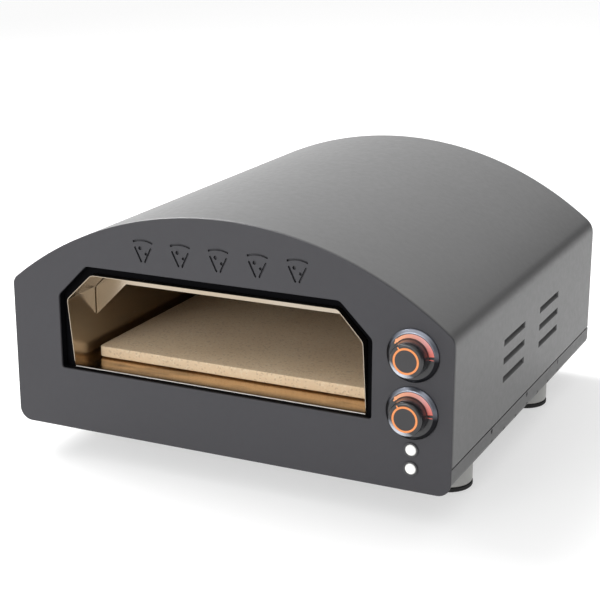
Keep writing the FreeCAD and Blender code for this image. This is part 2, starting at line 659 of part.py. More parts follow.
def element(z, front_y, inner_front_y, loop_back_y, end_y):
    """Sheathed tube bent in five loops, both ends leaving through the back."""
    half = [(TERMINAL_X, end_y), (TERMINAL_X, inner_front_y),
            (TERMINAL_X + LOOP_PITCH, inner_front_y), (TERMINAL_X + LOOP_PITCH, loop_back_y),
            (TERMINAL_X + 2 * LOOP_PITCH, loop_back_y), (TERMINAL_X + 2 * LOOP_PITCH, front_y)]
    right = [(MOUTH_X + x, y, z) for x, y in half]
    left = [(MOUTH_X - x, y, z) for x, y in reversed(half)]
    return bent_tube(right + left, 21.0, ELEMENT_R)


def element_bushings():
    """Ceramic beads that carry the element's ends through the steel."""
    beads = []
    for side in (-1, 1):
        x = MOUTH_X + side * TERMINAL_X
        for z, wall_y in ((UPPER_ELEMENT_Z, CHAMBER_BACK_Y), (LOWER_ELEMENT_Z, PAN_Y1 - LINER_T)):
            bead = rod_y(x, z, BUSH_R, wall_y, wall_y + LINER_T)
            bead = bead.fuse(rod_y(x, z, BUSH_R + 0.8, wall_y + LINER_T, wall_y + 8))
            beads.append(bead.cut(rod_y(x, z, ELEMENT_R, wall_y - 5, wall_y + 20)))
    return beads


def element_hangers():
    """Four sheet straps that hang the upper element from the ceiling."""
    straps = []
    for y in (150.0, 250.0):
        for side in (-1, 1):
            x = MOUTH_X + side * (TERMINAL_X + LOOP_PITCH)
            strap = box(x - 7, x + 7, y, y + 1.5, UPPER_ELEMENT_Z - 6, LINER_TOP)
            straps.append(strap.cut(rod_y(x, UPPER_ELEMENT_Z, ELEMENT_R, y - 1, y + 3)))
    return straps


def element_cradles():
    """Notched feet that carry the lower element above the pan."""
    cradles = []
    for y in (150.0, 250.0):
        for side in (-1, 1):
            x = MOUTH_X + side * (TERMINAL_X + LOOP_PITCH)
            foot_block = box(x - 9, x + 9, y, y + 2, PAN_LOW + LINER_T, LOWER_ELEMENT_Z)
            cradles.append(foot_block.cut(rod_y(x, LOWER_ELEMENT_Z, ELEMENT_R, y - 1, y + 3)))
    return cradles


# ---------------------------------------------------------------- controls
LAMP_BARREL_R = 5.0
SPINDLE_Y0, SPINDLE_Y1 = -14.5, 22.0
BULB_Y = 140.0
BULB_Z = {"upper": 132.0, "lower": 50.0}
CUTOUT_Y, CUTOUT_Z = 210.0, 110.0


def bezel(z):
    """Fixed dial ring: flat face, bright chamfer and a hollow back over the fixing screws."""
    profile = [(8.5, BEZEL_FACE_Y), (21.3, BEZEL_FACE_Y), (BEZEL_R, -1.4), (BEZEL_R, 0),
               (23.2, 0), (23.2, -1.2), (20.6, -2.4), (10.0, -2.4), (10.0, 0), (8.5, 0)]
    return turned_y(profile, KNOB_X, z)


def thermostat(z):
    """Capillary thermostat: case, mounting bush, terminals and the bore for its spindle."""
    case = box(KNOB_X - 17, KNOB_X + 17, 12.0, 34.0, z - 15, z + 15)
    case = case.makeFillet(2.0, [e for e in case.Edges if e.BoundBox.YLength > 5])
    body = case.fuse(box(KNOB_X - 20, KNOB_X + 20, PANEL_T, PANEL_T + 1.5, z - 8, z + 8))
    for side in (-1, 1):
        body = body.fuse(box(*sorted((KNOB_X + side * 20, KNOB_X + side * 18.5)),
                             PANEL_T, 20, z - 8, z + 8))
        body = body.fuse(box(*sorted((KNOB_X + side * 16, KNOB_X + side * 20)),
                             18.5, 20, z - 8, z + 8))
        for up in (-1, 1):
            body = body.fuse(box(KNOB_X + side * 9 - 3.1, KNOB_X + side * 9 + 3.1, 34, 43,
                                 z + up * 8 - 0.4, z + up * 8 + 0.4))
        body = body.cut(rod_y(KNOB_X + side * 14, z, 1.9, 0, PANEL_T + 3))
    body = body.fuse(rod_y(KNOB_X, z, 5.0, PANEL_T, 12.0))
    bore_end = SPINDLE_Y1 + 0.5
    return body.cut(rod_y(KNOB_X, z, SPINDLE_R + RUNNING_FIT, 0, bore_end)).removeSplitter()


def thermostat_screws():
    """Low-headed screws through the front panel, under the bezels."""
    screws = []
    for z in KNOB_Z.values():
        for side in (-1, 1):
            x = KNOB_X + side * 14
            screws.append(rod_y(x, z, 3.2, -1.2, 0).fuse(rod_y(x, z, 1.9, 0, PANEL_T + 4)))
    return screws


def spindle(z):
    """D-section shaft, flat where the knob grips it."""
    shaft = rod_y(KNOB_X, z, SPINDLE_R, SPINDLE_Y0, SPINDLE_Y1)
    return shaft.cut(box(KNOB_X + 1.8, KNOB_X + 5, SPINDLE_Y0 - 1, -5.0, z - 5, z + 5))


RING_OUT_R, RING_IN_R, RING_DEPTH = 12.1, 10.3, 1.0
POINTER_BASE, POINTER_TIP = 0.8, 0.5   # half widths of the tick at the ring and at its end


def pointer_cutter(z, y0, y1):
    """Tapered tick from the ring to the edge of the knob's face, at the pointer's angle."""
    a = math.radians(POINTER_DEG)
    out = V(math.sin(a), 0, math.cos(a))
    side = V(math.cos(a), 0, -math.sin(a))
    centre = V(KNOB_X, y0, z)
    base_r, tip_r = RING_OUT_R - 0.6, KNOB_FACE_R - 0.5
    corners = [centre + out * base_r + side * POINTER_BASE, centre + out * tip_r + side * POINTER_TIP,
               centre + out * tip_r - side * POINTER_TIP, centre + out * base_r - side * POINTER_BASE]
    return Part.Face(Part.makePolygon(corners + corners[:1])).extrude(V(0, y1 - y0, 0))


def ring_inlay(z, spare=0.0):
    """Ring and pointer tick that light up on the knob's face."""
    y0 = KNOB_FACE_Y - spare
    y1 = KNOB_FACE_Y + RING_DEPTH
    ring = rod_y(KNOB_X, z, RING_OUT_R, y0, y1).cut(rod_y(KNOB_X, z, RING_IN_R, y0 - 1, y1 + 1))
    return ring.fuse(pointer_cutter(z, y0, y1)).removeSplitter()


def knob(z):
    """Turned knob: skirt, gently tapered grip, rounded edge, hollow back round a D-bored hub."""
    low = BEZEL_FACE_Y - 0.6
    profile = [(0, KNOB_FACE_Y), (KNOB_FACE_R, KNOB_FACE_Y), (15.6, KNOB_FACE_Y + 0.9),
               (16.1, KNOB_FACE_Y + 4), (16.4, low - 2.4), (KNOB_SKIRT_R, low - 1.8),
               (KNOB_SKIRT_R, low), (14.5, low), (14.0, KNOB_FACE_Y + 4), (6.0, KNOB_FACE_Y + 4),
               (6.0, low), (0, low)]
    body = turned_y(profile, KNOB_X, z)
    body = body.cut(ring_inlay(z, spare=1.0))
    bore = rod_y(KNOB_X, z, SPINDLE_R, SPINDLE_Y0, 5)
    bore = bore.cut(box(KNOB_X + 1.8, KNOB_X + 5, SPINDLE_Y0 - 1, -5.0, z - 5, z + 5))
    return body.cut(bore)


LENS_R = 5.2


def lamp_body(z):
    """Snap-in holder: rim, barrel behind the panel and two terminals."""
    rim_in = LENS_R + 0.1
    rim = turned_y([(rim_in, -1.4), (7.0, -1.0), (7.0, 0), (rim_in, 0)], KNOB_X, z)
    barrel = rod_y(KNOB_X, z, LAMP_BARREL_R, 0, 22).cut(rod_y(KNOB_X, z, 3.8, -1, 18))
    front = rod_y(KNOB_X, z, rim_in + 0.2, -0.3, 0).cut(rod_y(KNOB_X, z, 3.8, -1, 1))
    holder = rim.fuse(front).fuse(barrel)
    for side in (-1, 1):
        holder = holder.fuse(box(KNOB_X - 1.4, KNOB_X + 1.4, 22, 29, z + side * 2.6 - 0.3,
                                 z + side * 2.6 + 0.3))
    return holder.removeSplitter()


def lamp_lens(z):
    """Domed lens that sits in the rim, with a stem down the barrel."""
    dome_r = 11.0
    top = -2.3
    dome = Part.makeSphere(dome_r, V(KNOB_X, top + dome_r, z))
    lens = dome.common(rod_y(KNOB_X, z, LENS_R, top - 1, -0.3))
    return lens.fuse(rod_y(KNOB_X, z, 3.6, -0.3, 14)).removeSplitter()


def capillary(name):
    """Bulb in the hot space and the thin tube from it back to its thermostat."""
    z = BULB_Z[name]
    knob_z = KNOB_Z[name]
    bulb_x = MOUTH_X + (LINER_HALF_W - 7 if name == "upper" else PAN_HALF_W - 8)
    bulb = rod_y(bulb_x, z, 2.5, BULB_Y - 6, BULB_Y + 74)
    tube = bent_tube([(bulb_x, BULB_Y, z), (BULKHEAD_X + 14, BULB_Y, z),
                      (BULKHEAD_X + 14, 80, z), (KNOB_X, 80, knob_z), (KNOB_X, 34, knob_z)],
                     5.0, 0.8)
    return bulb.fuse(tube)


# ---------------------------------------------------------------- electrics
def thermal_cutout():
    wall = MOUTH_X + LINER_HALF_W + LINER_T
    body = rod_x(CUTOUT_Y, CUTOUT_Z, 8.0, wall, wall + 9)
    for side in (-1, 1):
        body = body.fuse(box(wall + 9, wall + 16, CUTOUT_Y - 3.1, CUTOUT_Y + 3.1,
                             CUTOUT_Z + side * 4 - 0.4, CUTOUT_Z + side * 4 + 0.4))
    return body


BLOCK_X, BLOCK_Y = 100.0, 395.0


def terminal_block():
    """Ceramic three-way block on the tray, near the inlet."""
    low = TRAY_UNDER + SHEET
    block = box(BLOCK_X - 24, BLOCK_X + 24, BLOCK_Y - 9, BLOCK_Y + 9, low, low + 18)
    for i in (-1, 0, 1):
        x = BLOCK_X + i * 14
        block = block.cut(rod_z(x, BLOCK_Y, 2.6, low + 11, low + 20))
        block = block.cut(rod_y(x, low + 8, 2.4, BLOCK_Y - 10, BLOCK_Y - 3))
        block = block.cut(rod_y(x, low + 8, 2.4, BLOCK_Y + 3, BLOCK_Y + 10))
    return block


PIN_PLACES = ((0.0, 2.0), (-7.0, -2.0), (7.0, -2.0))


def power_inlet():
    """Appliance inlet: flange on the rear panel, body inside it and a socket with three pins."""
    y_face = BODY_D + 2.0
    flange = box(INLET_X - 25, INLET_X + 25, BODY_D, y_face, INLET_Z - 12, INLET_Z + 12)
    flange = flange.makeFillet(5.0, [e for e in flange.Edges if e.BoundBox.YLength > 1])
    body = flange.fuse(box(INLET_X - 14, INLET_X + 14, BODY_D - 22, BODY_D, INLET_Z - 10, INLET_Z + 10))
    body = body.cut(box(INLET_X - 12, INLET_X + 12, BODY_D - 16, y_face + 1, INLET_Z - 8, INLET_Z + 8))
    for side in (-1, 1):
        body = body.cut(rod_y(INLET_X + side * 20, INLET_Z, 1.7, BODY_D - 1, y_face + 1))
    for x, z in PIN_PLACES:
        body = body.fuse(box(INLET_X + x - 1, INLET_X + x + 1, BODY_D - 28, BODY_D - 2,
                             INLET_Z + z - 2, INLET_Z + z + 2))
    return body.removeSplitter()


def inlet_screws():
    screws = []
    for side in (-1, 1):
        x = INLET_X + side * 20
        face = BODY_D + 2.0
        head = rod_y(x, INLET_Z, 2.8, face, face + 0.2).fuse(rod_y(x, INLET_Z, 1.6, BODY_D - 8, face))
        screws.append(head)
    return screws


def wiring():
    """Insulated leads: inlet to block, block to controls, controls to elements and lamps."""
    lead_r = 1.3
    low = TRAY_UNDER + SHEET
    leads = []
    for (pin_x, pin_z), way in zip(PIN_PLACES, (0, -1, 1)):
        x = BLOCK_X + way * 14
        turn_y = BLOCK_Y + 27 - 4 * way
        leads.append([(INLET_X + pin_x, BODY_D - 28, INLET_Z + pin_z),
                      (INLET_X + pin_x, turn_y, INLET_Z + pin_z),
                      (x, turn_y, low + 8), (x, BLOCK_Y + 4, low + 8)])
    for way, lane in ((-1, 0), (1, 1)):
        turn_y = BLOCK_Y - 17 - 3 * lane
        leads.append([(BLOCK_X + way * 14, BLOCK_Y - 4, low + 8),
                      (BLOCK_X + way * 14, turn_y, low + 8),
                      (BLOCK_X + way * 14, turn_y, 54 + 4 * lane),
                      (KNOB_X + 6 * lane, turn_y, 54 + 4 * lane),
                      (KNOB_X + 6 * lane, 60, 54 + 4 * lane),
                      (KNOB_X + way * 9, 60, KNOB_Z["lower"] - 8),
                      (KNOB_X + way * 9, 43, KNOB_Z["lower"] - 8)])
    for way in (-1, 1):
        x, low, high = KNOB_X + way * 9, KNOB_Z["lower"] + 8, KNOB_Z["upper"] - 8
        leads.append([(x, 43, low), (x, 52, low), (x, 52, high), (x, 43, high)])
        x, y, low, high = KNOB_X, 36 + 2 * way, LAMP_Z["lower"] + way * 2.6, LAMP_Z["upper"] - way * 2.6
        leads.append([(x, 29, low), (x, y, low), (x + way * 8, y, 31), (x, y, high), (x, 29, high)])
    for side in (-1, 1):
        x = MOUTH_X + side * TERMINAL_X
        leads.append([(x, 385, UPPER_ELEMENT_Z), (x, 400, UPPER_ELEMENT_Z),
                      (x, 400, LOWER_ELEMENT_Z), (x, 385, LOWER_ELEMENT_Z)])
    return [bent_tube(points, 2.6, lead_r) for points in leads]


# ---------------------------------------------------------------- write every piece
export("front_panel", front_panel())
export("stencil_backing", stencil_backing())
export("front_panel_nuts", *front_panel_nuts())
export("mouth_collar", mouth_collar())
export("outer_shell", outer_shell())
export("shell_screws", *shell_screws())
export("rear_panel", rear_panel())
export("rear_panel_screws", *rear_panel_screws())
export("base_tray", base_tray())
for end, y_foot in zip(("front", "rear"), FOOT_Y):
    for hand, x_foot in (("left", -FOOT_X), ("right", FOOT_X)):
        export(f"foot_{end}_{hand}", foot(x_foot, y_foot))
        export(f"pad_{end}_{hand}", foot_pad(x_foot, y_foot))
export("foot_bolts", *foot_bolts())
export("chamber_liner", chamber_liner())
export("chamber_floor", chamber_floor())
export("chamber_back", chamber_back())
export("mouth_baffle", mouth_baffle())
export("element_pan", element_pan())
export("stone_rests", *stone_rests())
export("pizza_stone", pizza_stone())
export("left_chamber_rail", chamber_rail(-1))
export("right_chamber_rail", chamber_rail(1))
export("base_heat_shield", base_heat_shield())
export("insulation_jacket", insulation_jacket())
export("insulation_rear", insulation_rear())
export("insulation_base", insulation_base())
export("control_bulkhead", control_bulkhead())
export("upper_element", element(UPPER_ELEMENT_Z, 75.0, 105.0, 315.0, 385.0))
export("lower_element", element(LOWER_ELEMENT_Z, 78.0, 108.0, 305.0, 385.0))
export("element_bushings", *element_bushings())
export("element_hangers", *element_hangers())
export("element_cradles", *element_cradles())
for level in ("upper", "lower"):
    export(f"{level}_bezel", bezel(KNOB_Z[level]))
    export(f"{level}_knob", knob(KNOB_Z[level]))
    export(f"{level}_knob_ring", ring_inlay(KNOB_Z[level]))
    export(f"{level}_spindle", spindle(KNOB_Z[level]))
    export(f"{level}_thermostat", thermostat(KNOB_Z[level]))
    export(f"{level}_capillary", capillary(level))
    export(f"{level}_lamp_holder", lamp_body(LAMP_Z[level]))
    export(f"{level}_lamp_lens", lamp_lens(LAMP_Z[level]))
export("thermostat_screws", *thermostat_screws())
export("thermal_cutout", thermal_cutout())
export("terminal_block", terminal_block())
export("power_inlet", power_inlet())
export("inlet_screws", *inlet_screws())
export("wiring", *wiring())
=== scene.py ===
# %% [markdown]
# # A countertop pizza oven
# The steelwork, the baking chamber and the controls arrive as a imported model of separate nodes.
# This lesson gives every node a finish, and draws again in numpy the pieces whose edges, bends
# and prints deserve more than a plain solid. Everything rides on the model's own bodies, so the
# knobs still turn and the stone still slides.

# %% Load the frame
import json
import math
import bmesh
import bpy
import numpy as np
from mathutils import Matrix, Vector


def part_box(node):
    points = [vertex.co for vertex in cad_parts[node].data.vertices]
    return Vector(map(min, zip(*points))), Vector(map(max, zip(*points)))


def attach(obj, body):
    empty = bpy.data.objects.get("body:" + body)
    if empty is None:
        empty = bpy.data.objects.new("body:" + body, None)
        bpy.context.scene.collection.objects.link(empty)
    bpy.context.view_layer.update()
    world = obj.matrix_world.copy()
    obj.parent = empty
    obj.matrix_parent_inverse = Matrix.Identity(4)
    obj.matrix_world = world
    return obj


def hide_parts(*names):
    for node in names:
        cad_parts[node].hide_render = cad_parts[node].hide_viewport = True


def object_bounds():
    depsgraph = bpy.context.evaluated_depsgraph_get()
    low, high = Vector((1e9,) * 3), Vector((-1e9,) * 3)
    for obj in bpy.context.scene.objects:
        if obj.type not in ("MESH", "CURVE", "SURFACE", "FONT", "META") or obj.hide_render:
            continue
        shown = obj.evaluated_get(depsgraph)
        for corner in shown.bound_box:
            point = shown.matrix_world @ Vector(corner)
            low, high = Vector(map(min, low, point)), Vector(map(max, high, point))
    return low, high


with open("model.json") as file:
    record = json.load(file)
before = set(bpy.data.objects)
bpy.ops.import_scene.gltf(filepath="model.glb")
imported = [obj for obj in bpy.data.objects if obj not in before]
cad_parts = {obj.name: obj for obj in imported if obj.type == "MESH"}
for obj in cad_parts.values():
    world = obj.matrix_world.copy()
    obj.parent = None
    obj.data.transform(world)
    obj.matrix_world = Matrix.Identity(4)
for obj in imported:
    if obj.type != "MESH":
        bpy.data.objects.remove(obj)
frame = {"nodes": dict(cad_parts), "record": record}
cad_low, cad_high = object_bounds()
slot_of = {s["node"]: s["material_slot"] for s in frame["record"]["subparts"]}
print("nodes", len(frame["nodes"]), "box", [round(v, 4) for v in (*cad_low, *cad_high)])

# %% [markdown]
# ## One ruler for everything
# The oven is easiest to think about in millimetres from the lower edge of its front panel: x to
# the right, y from the panel's face to the back, z up. The panel's own box says where that
# corner lies in the model, so one function turns such points into the model's metres.

# %% The ruler
MM = 0.001
panel_low, panel_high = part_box("front_panel")
shell_low, shell_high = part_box("outer_shell")
rear_low, rear_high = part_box("rear_panel")
RULER_ZERO = np.array([0.0, panel_low.y, panel_low.z])
HALF_W = shell_high.x / MM
PANEL_H = (panel_high.z - panel_low.z) / MM
BODY_D = (rear_high.y - panel_low.y) / MM
print("half width", HALF_W, "panel height", PANEL_H, "depth", BODY_D)


def place(points):
    """Millimetres from the panel's lower edge, times 0.001, plus where that edge is."""
    return np.asarray(points, float) * MM + RULER_ZERO


def measured(node):
    """The two corners of a node's box, in millimetres on the ruler."""
    low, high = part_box(node)
    return (np.array(low) - RULER_ZERO) / MM, (np.array(high) - RULER_ZERO) / MM


# %% [markdown]
# ## The camera
# A long lens held to the right of the oven and a little above it keeps the front panel's arch
# nearly true and still shows the side with its louvres. The lens is 90 mm on a 36 mm sensor.

# %% Camera
camera = bpy.data.objects.new("camera", bpy.data.cameras.new("camera"))
camera.data.lens = 89.62
camera.data.sensor_width = 36.0
camera.location = (0.63105, -1.38130, 0.58081)
camera.rotation_euler = (math.pi / 2 - 0.2923, 0.0, 0.4423)
bpy.context.scene.collection.objects.link(camera)
bpy.context.scene.camera = camera

# %% [markdown]
# ## Soft light and a pale floor
# Painted steel shows its form through broad soft light. One large panel of light hangs above
# and behind to the left, so that the arch brightens towards its crown, a second lies low on the
# right for the louvred side, and a weak one in front opens the chamber. The pale world fills
# the shadows and gives the polished steel something to mirror. Two dark flags shape it: one low
# behind the oven draws a dark band along the shell's right shoulder, and a broad one on the
# right keeps the louvred side quieter than the top.

# %% Lights
LIGHTS = {
    "crown_light": ((-1.5, 0.5, 1.8), (-0.1, 0.0, 0.2), 1.5, 77.0),
    "side_light": ((2.4, 1.4, 0.7), (0.2, 0.1, 0.1), 1.2, 1.0),
    "front_light": ((-0.5, -2.0, 0.7), (0.0, 0.0, 0.1), 0.8, 11.0),
}


def soft_light(name, spot, target, size, power):
    """A square area light at spot, turned so that its face looks at target."""
    lamp = bpy.data.lights.new(name, "AREA")
    lamp.size = size
    lamp.energy = power
    holder = bpy.data.objects.new(name, lamp)
    holder.location = spot
    aim = Vector(target) - Vector(spot)
    holder.rotation_euler = aim.to_track_quat("-Z", "Y").to_euler()
    bpy.context.scene.collection.objects.link(holder)


for name, (spot, target, size, power) in LIGHTS.items():
    soft_light(name, spot, target, size, power)
bpy.context.scene.view_settings.view_transform = "Standard"
print("lights", len(LIGHTS))


# %% Pale surroundings with dark flags
# Each flag: its direction, the cosines where it is full and where it ends, its lowest tone.
FLAGS = (((0.42, 0.88, 0.12), 0.975, 0.905, 0.02), ((1.0, -0.1, -0.1), 0.75, 0.25, 0.30))


def studio_world(strength):
    """White, dimmed around each flag by how close the direction's cosine is to the flag's."""
    world = bpy.data.worlds.new("studio")
    world.use_nodes = True
    nodes, links = world.node_tree.nodes, world.node_tree.links
    where = nodes.new("ShaderNodeTexCoord")
    total = None
    for towards, full, end, dark in FLAGS:
        cosine = nodes.new("ShaderNodeVectorMath")
        cosine.operation = "DOT_PRODUCT"
        cosine.inputs[1].default_value = Vector(towards).normalized()
        links.new(where.outputs["Generated"], cosine.inputs[0])
        tone = nodes.new("ShaderNodeMapRange")
        tone.interpolation_type = "SMOOTHSTEP"
        for label, value in (("From Min", end), ("From Max", full), ("To Min", 1.0), ("To Max", dark)):
            tone.inputs[label].default_value = value
        links.new(cosine.outputs["Value"], tone.inputs["Value"])
        product = nodes.new("ShaderNodeMath")
        product.operation = "MULTIPLY"
        product.inputs[0].default_value = 1.0
        if total:
            links.new(total, product.inputs[0])
        links.new(tone.outputs["Result"], product.inputs[1])
        total = product.outputs[0]
    links.new(total, nodes["Background"].inputs["Color"])
    nodes["Background"].inputs["Strength"].default_value = strength
    bpy.context.scene.world = world


studio_world(0.92)

# %% [markdown]
# ## Writing a finish as arithmetic
# A shader tree is a sum of many small nodes. Wired by hand they are hard to read, so two small
# classes are used: `Value` wraps one socket and lets +, -, * and / add the Math nodes, and
# `Finish` holds a material and makes every other node through a single method.

# %% Shader tools
class Value:
    """One output socket of a finish. Arithmetic on it adds Math nodes and gives a new Value."""

    def __init__(self, finish, socket):
        self.finish = finish
        self.socket = socket

    def _math(self, operation, first, second):
        return self.finish.node("ShaderNodeMath", {"operation": operation}, {0: first, 1: second})

    def __add__(self, other):
        return self._math("ADD", self, other)

    def __radd__(self, other):
        return self._math("ADD", other, self)

    def __sub__(self, other):
        return self._math("SUBTRACT", self, other)

    def __rsub__(self, other):
        return self._math("SUBTRACT", other, self)

    def __mul__(self, other):
        return self._math("MULTIPLY", self, other)

    def __rmul__(self, other):
        return self._math("MULTIPLY", other, self)

    def over(self, edge, softness):
        """0 below edge and 1 above it, with a straight ramp of width softness between them."""
        return self.finish.node("ShaderNodeMapRange", {"clamp": True},
                                {"Value": self, "From Min": edge - softness / 2,
                                 "From Max": edge + softness / 2})


class Finish:
    """A material being made: its Principled shader, and one method that makes any other node."""

    def __init__(self, name, **fixed):
        self.material = bpy.data.materials.new(name)
        self.material.use_nodes = True
        self.tree = self.material.node_tree
        self.shader = self.tree.nodes["Principled BSDF"]
        self.place = self.node("ShaderNodeTexCoord", {}, {}, "Object")
        for label, value in fixed.items():
            self.set(label.replace("_", " ").title().replace("Ior", "IOR"), value)

    def node(self, kind, settings, inputs, output=0):
        """A node of that type: settings first, then the values or links of its sockets."""
        made = self.tree.nodes.new(kind)
        stops = settings.pop("stops", None)
        for key, value in settings.items():
            setattr(made, key, value)
        if stops:
            ramp = made.color_ramp
            ramp.elements[0].position, ramp.elements[0].color = stops[0][0], (*stops[0][1], 1.0)
            ramp.elements[1].position, ramp.elements[1].color = stops[-1][0], (*stops[-1][1], 1.0)
            for position, colour in stops[1:-1]:
                ramp.elements.new(position).color = (*colour, 1.0)
        for key, value in inputs.items():
            self._fill(made.inputs[key], value)
        return Value(self, made.outputs[output])

    def _fill(self, socket, value):
        if isinstance(value, Value):
            self.tree.links.new(value.socket, socket)
        elif isinstance(value, tuple) and socket.type == "RGBA":
            socket.default_value = (*value[:3], 1.0)
        else:
            socket.default_value = value

    def set(self, label, value):
        """Gives a value or a link to one socket of the Principled shader."""
        self._fill(self.shader.inputs[label], value)

    def noise(self, scale, detail=3.0, stretch=(1.0, 1.0, 1.0), seed=0.0):
        """Cloudy noise, 0 to 1, with scale cells per metre; stretch multiplies each axis."""
        where = self.node("ShaderNodeMapping", {},
                          {"Vector": self.place, "Scale": stretch, "Location": (seed, seed, seed)})
        return self.node("ShaderNodeTexNoise", {}, {"Vector": where, "Scale": scale, "Detail": detail})

    def mix(self, factor, first, second):
        """Blends two colours by factor."""
        return self.node("ShaderNodeMix", {"data_type": "RGBA"}, {0: factor, 6: first, 7: second}, 2)

    def ramp(self, factor, stops):
        """A colour read from a row of stops."""
        return self.node("ShaderNodeValToRGB", {"stops": stops}, {0: factor})

    def relief(self, height, strength, depth_mm):
        """Turns a height into a bumped normal, depth_mm deep at full strength."""
        bump = self.node("ShaderNodeBump", {}, {"Height": height, "Strength": strength,
                                                "Distance": depth_mm * MM})
        self.set("Normal", bump)


def tinted(colour, factor):
    """A colour made lighter or darker by a factor, held between 0 and 1."""
    return tuple(min(1.0, channel * factor) for channel in colour)


# %% [markdown]
# ## Powder coat
# The casing is sprayed with powder and baked. Up close the coat is a fine orange peel, a
# little uneven in gloss. A flat grey would look like plastic, so the colour drifts by a few
# percent over the sheet, the roughness follows a coarser noise, and two sizes of ripple make
# the peel.

# %% Powder coat finish
def powder_coat(name, colour, roughness, peel=0.22, shine=0.5, recess_shade=0.0):
    """Colour times 1 plus or minus a slow noise; peel is the height of the fine ripple.

    shine is the strength of the plain reflection. The last argument darkens what lies inside
    the shell's side walls as painted shade, fully at 2 mm deep.
    """
    finish = Finish(name, metallic=0.0, specular_ior_level=shine)
    drift = finish.noise(9.0, 4.0)
    speck = finish.noise(900.0, 2.0)
    base = finish.mix(drift.over(0.5, 0.5), tinted(colour, 0.955), tinted(colour, 1.045))
    specks_and_painted_shade = finish.mix(speck.over(0.66, 0.12) * 0.30, base, tinted(colour, 1.35))
    # Painted shade: the coat darkens with depth inside the side walls, where the louvres lie in shadow.
    if recess_shade:
        across = finish.node("ShaderNodeSeparateXYZ", {}, {0: finish.place})
        reach = finish.node("ShaderNodeMath", {"operation": "ABSOLUTE"}, {0: across})
        depth = (HALF_W * MM - reach) * (recess_shade / (2.0 * MM))
        specks_and_painted_shade = finish.mix(depth, specks_and_painted_shade, tinted(colour, 0.1))
    finish.set("Base Color", specks_and_painted_shade)
    finish.set("Roughness", finish.noise(160.0, 3.0, seed=4.0) * 0.14 + (roughness - 0.07))
    ripple = finish.noise(1100.0, 2.0, seed=2.0) * 0.7 + finish.noise(330.0, 2.0, seed=7.0) * 0.3
    finish.relief(ripple, peel, 0.12)
    return finish.material


# %% [markdown]
# ## Stainless steel
# The chamber is bright rolled sheet: nearly a mirror, with fine rolling lines along its length,
# a few cloudy wipe marks, and a straw tint where it gets hot. Stretched noise draws the lines,
# round noise the wipe marks, and both stay faint.

# %% Stainless finish
def stainless(name, colour, roughness, along, heat=0.0, relief=0.05):
    """along stretches the rolling lines: a small number on the axis that they follow."""
    finish = Finish(name, metallic=1.0)
    lines = finish.noise(700.0, 2.0, stretch=along)
    smear = finish.noise(16.0, 3.0, seed=3.0)
    tint = finish.mix(finish.noise(7.0, 2.0, seed=9.0).over(0.52, 0.3) * heat,
                      colour, tinted((colour[0] * 0.86, colour[1] * 0.70, colour[2] * 0.48), 1.0))
    finish.set("Base Color", finish.mix(lines * 0.35, tint, tinted(colour, 0.80)))
    finish.set("Roughness", lines * 0.08 + smear.over(0.55, 0.35) * 0.10 + (roughness - 0.06))
    finish.relief(lines, relief, 0.05)
    return finish.material



def deck_with_painted_reflection(name, colour):
    """Straw-tinted sheet, darkening over 16 mm towards the lip with a streaked edge: a painted dark
    reflection.
    """
    finish = Finish(name, metallic=1.0)
    lip_y = RULER_ZERO[1] + 17.0 * MM
    deep = Value(finish, finish.node("ShaderNodeSeparateXYZ", {}, {0: finish.place}).socket.node.outputs[1])
    streaks = finish.noise(60.0, 4.0, stretch=(0.25, 1.0, 1.0), seed=11.0)
    # Painted dark reflection: the deck darkens towards its front lip.
    painted_dark_reflection = (1.0 - (deep + streaks * 0.012 - 0.006).over(lip_y, 0.016)) * 0.85
    patchy = finish.mix(streaks.over(0.62, 0.16) * 0.7, colour, tinted(colour, 0.25))
    finish.set("Base Color", finish.mix(painted_dark_reflection, patchy, (0.020, 0.014, 0.008)))
    finish.set("Roughness", finish.noise(700.0, 2.0, stretch=(0.02, 1.0, 1.0)) * 0.10 + 0.16)
    return finish.material


# %% [markdown]
# ## Stone, plastics, rubber and the rest
# Cordierite is pressed from coarse grains, so it is pale with darker and lighter crumbs and
# small open pits. Moulded plastics get a thin gloss coat over a satin body. The remaining
# finishes are small pieces, but each still varies in tone, gloss and relief.

# %% Stone finish
def fired_stone(name):
    """Pale grains, brown crumbs by a cell pattern, and pits where fine noise runs low."""
    finish = Finish(name, metallic=0.0)
    cloud = finish.noise(14.0, 4.0)
    crumbs = finish.node("ShaderNodeTexVoronoi", {"feature": "F1"},
                         {"Vector": finish.place, "Scale": 620.0}, "Color")
    crumb_tone = finish.node("ShaderNodeSeparateColor", {}, {0: crumbs}, 0)
    pits = finish.noise(1500.0, 3.0, seed=5.0)
    body = finish.mix(cloud.over(0.5, 0.4), (0.80, 0.61, 0.405), (0.86, 0.68, 0.47))
    speckled = finish.mix(crumb_tone.over(0.88, 0.10) * 0.32, body, (0.420, 0.290, 0.180))
    paler = finish.mix((1.0 - crumb_tone.over(0.12, 0.10)) * 0.35, speckled, (0.90, 0.80, 0.62))
    finish.set("Base Color", paler)
    finish.set("Roughness", pits * 0.12 + 0.80)
    finish.relief(pits * 0.7 + crumb_tone * 0.3, 0.30, 0.20)
    return finish.material


# %% Moulded, rubber and glowing finishes
def moulded(name, colour, roughness, coat=0.0, grain=700.0, relief=0.06):
    """A satin body under a clear coat, with a fine moulded grain."""
    finish = Finish(name, metallic=0.0, coat_weight=coat, coat_roughness=0.12)
    grit = finish.noise(grain, 3.0)
    tone = finish.mix(finish.noise(60.0, 3.0, seed=6.0), tinted(colour, 0.88), tinted(colour, 1.12))
    finish.set("Base Color", tone)
    finish.set("Roughness", grit * 0.12 + (roughness - 0.06))
    finish.relief(grit, relief, 0.06)
    return finish.material


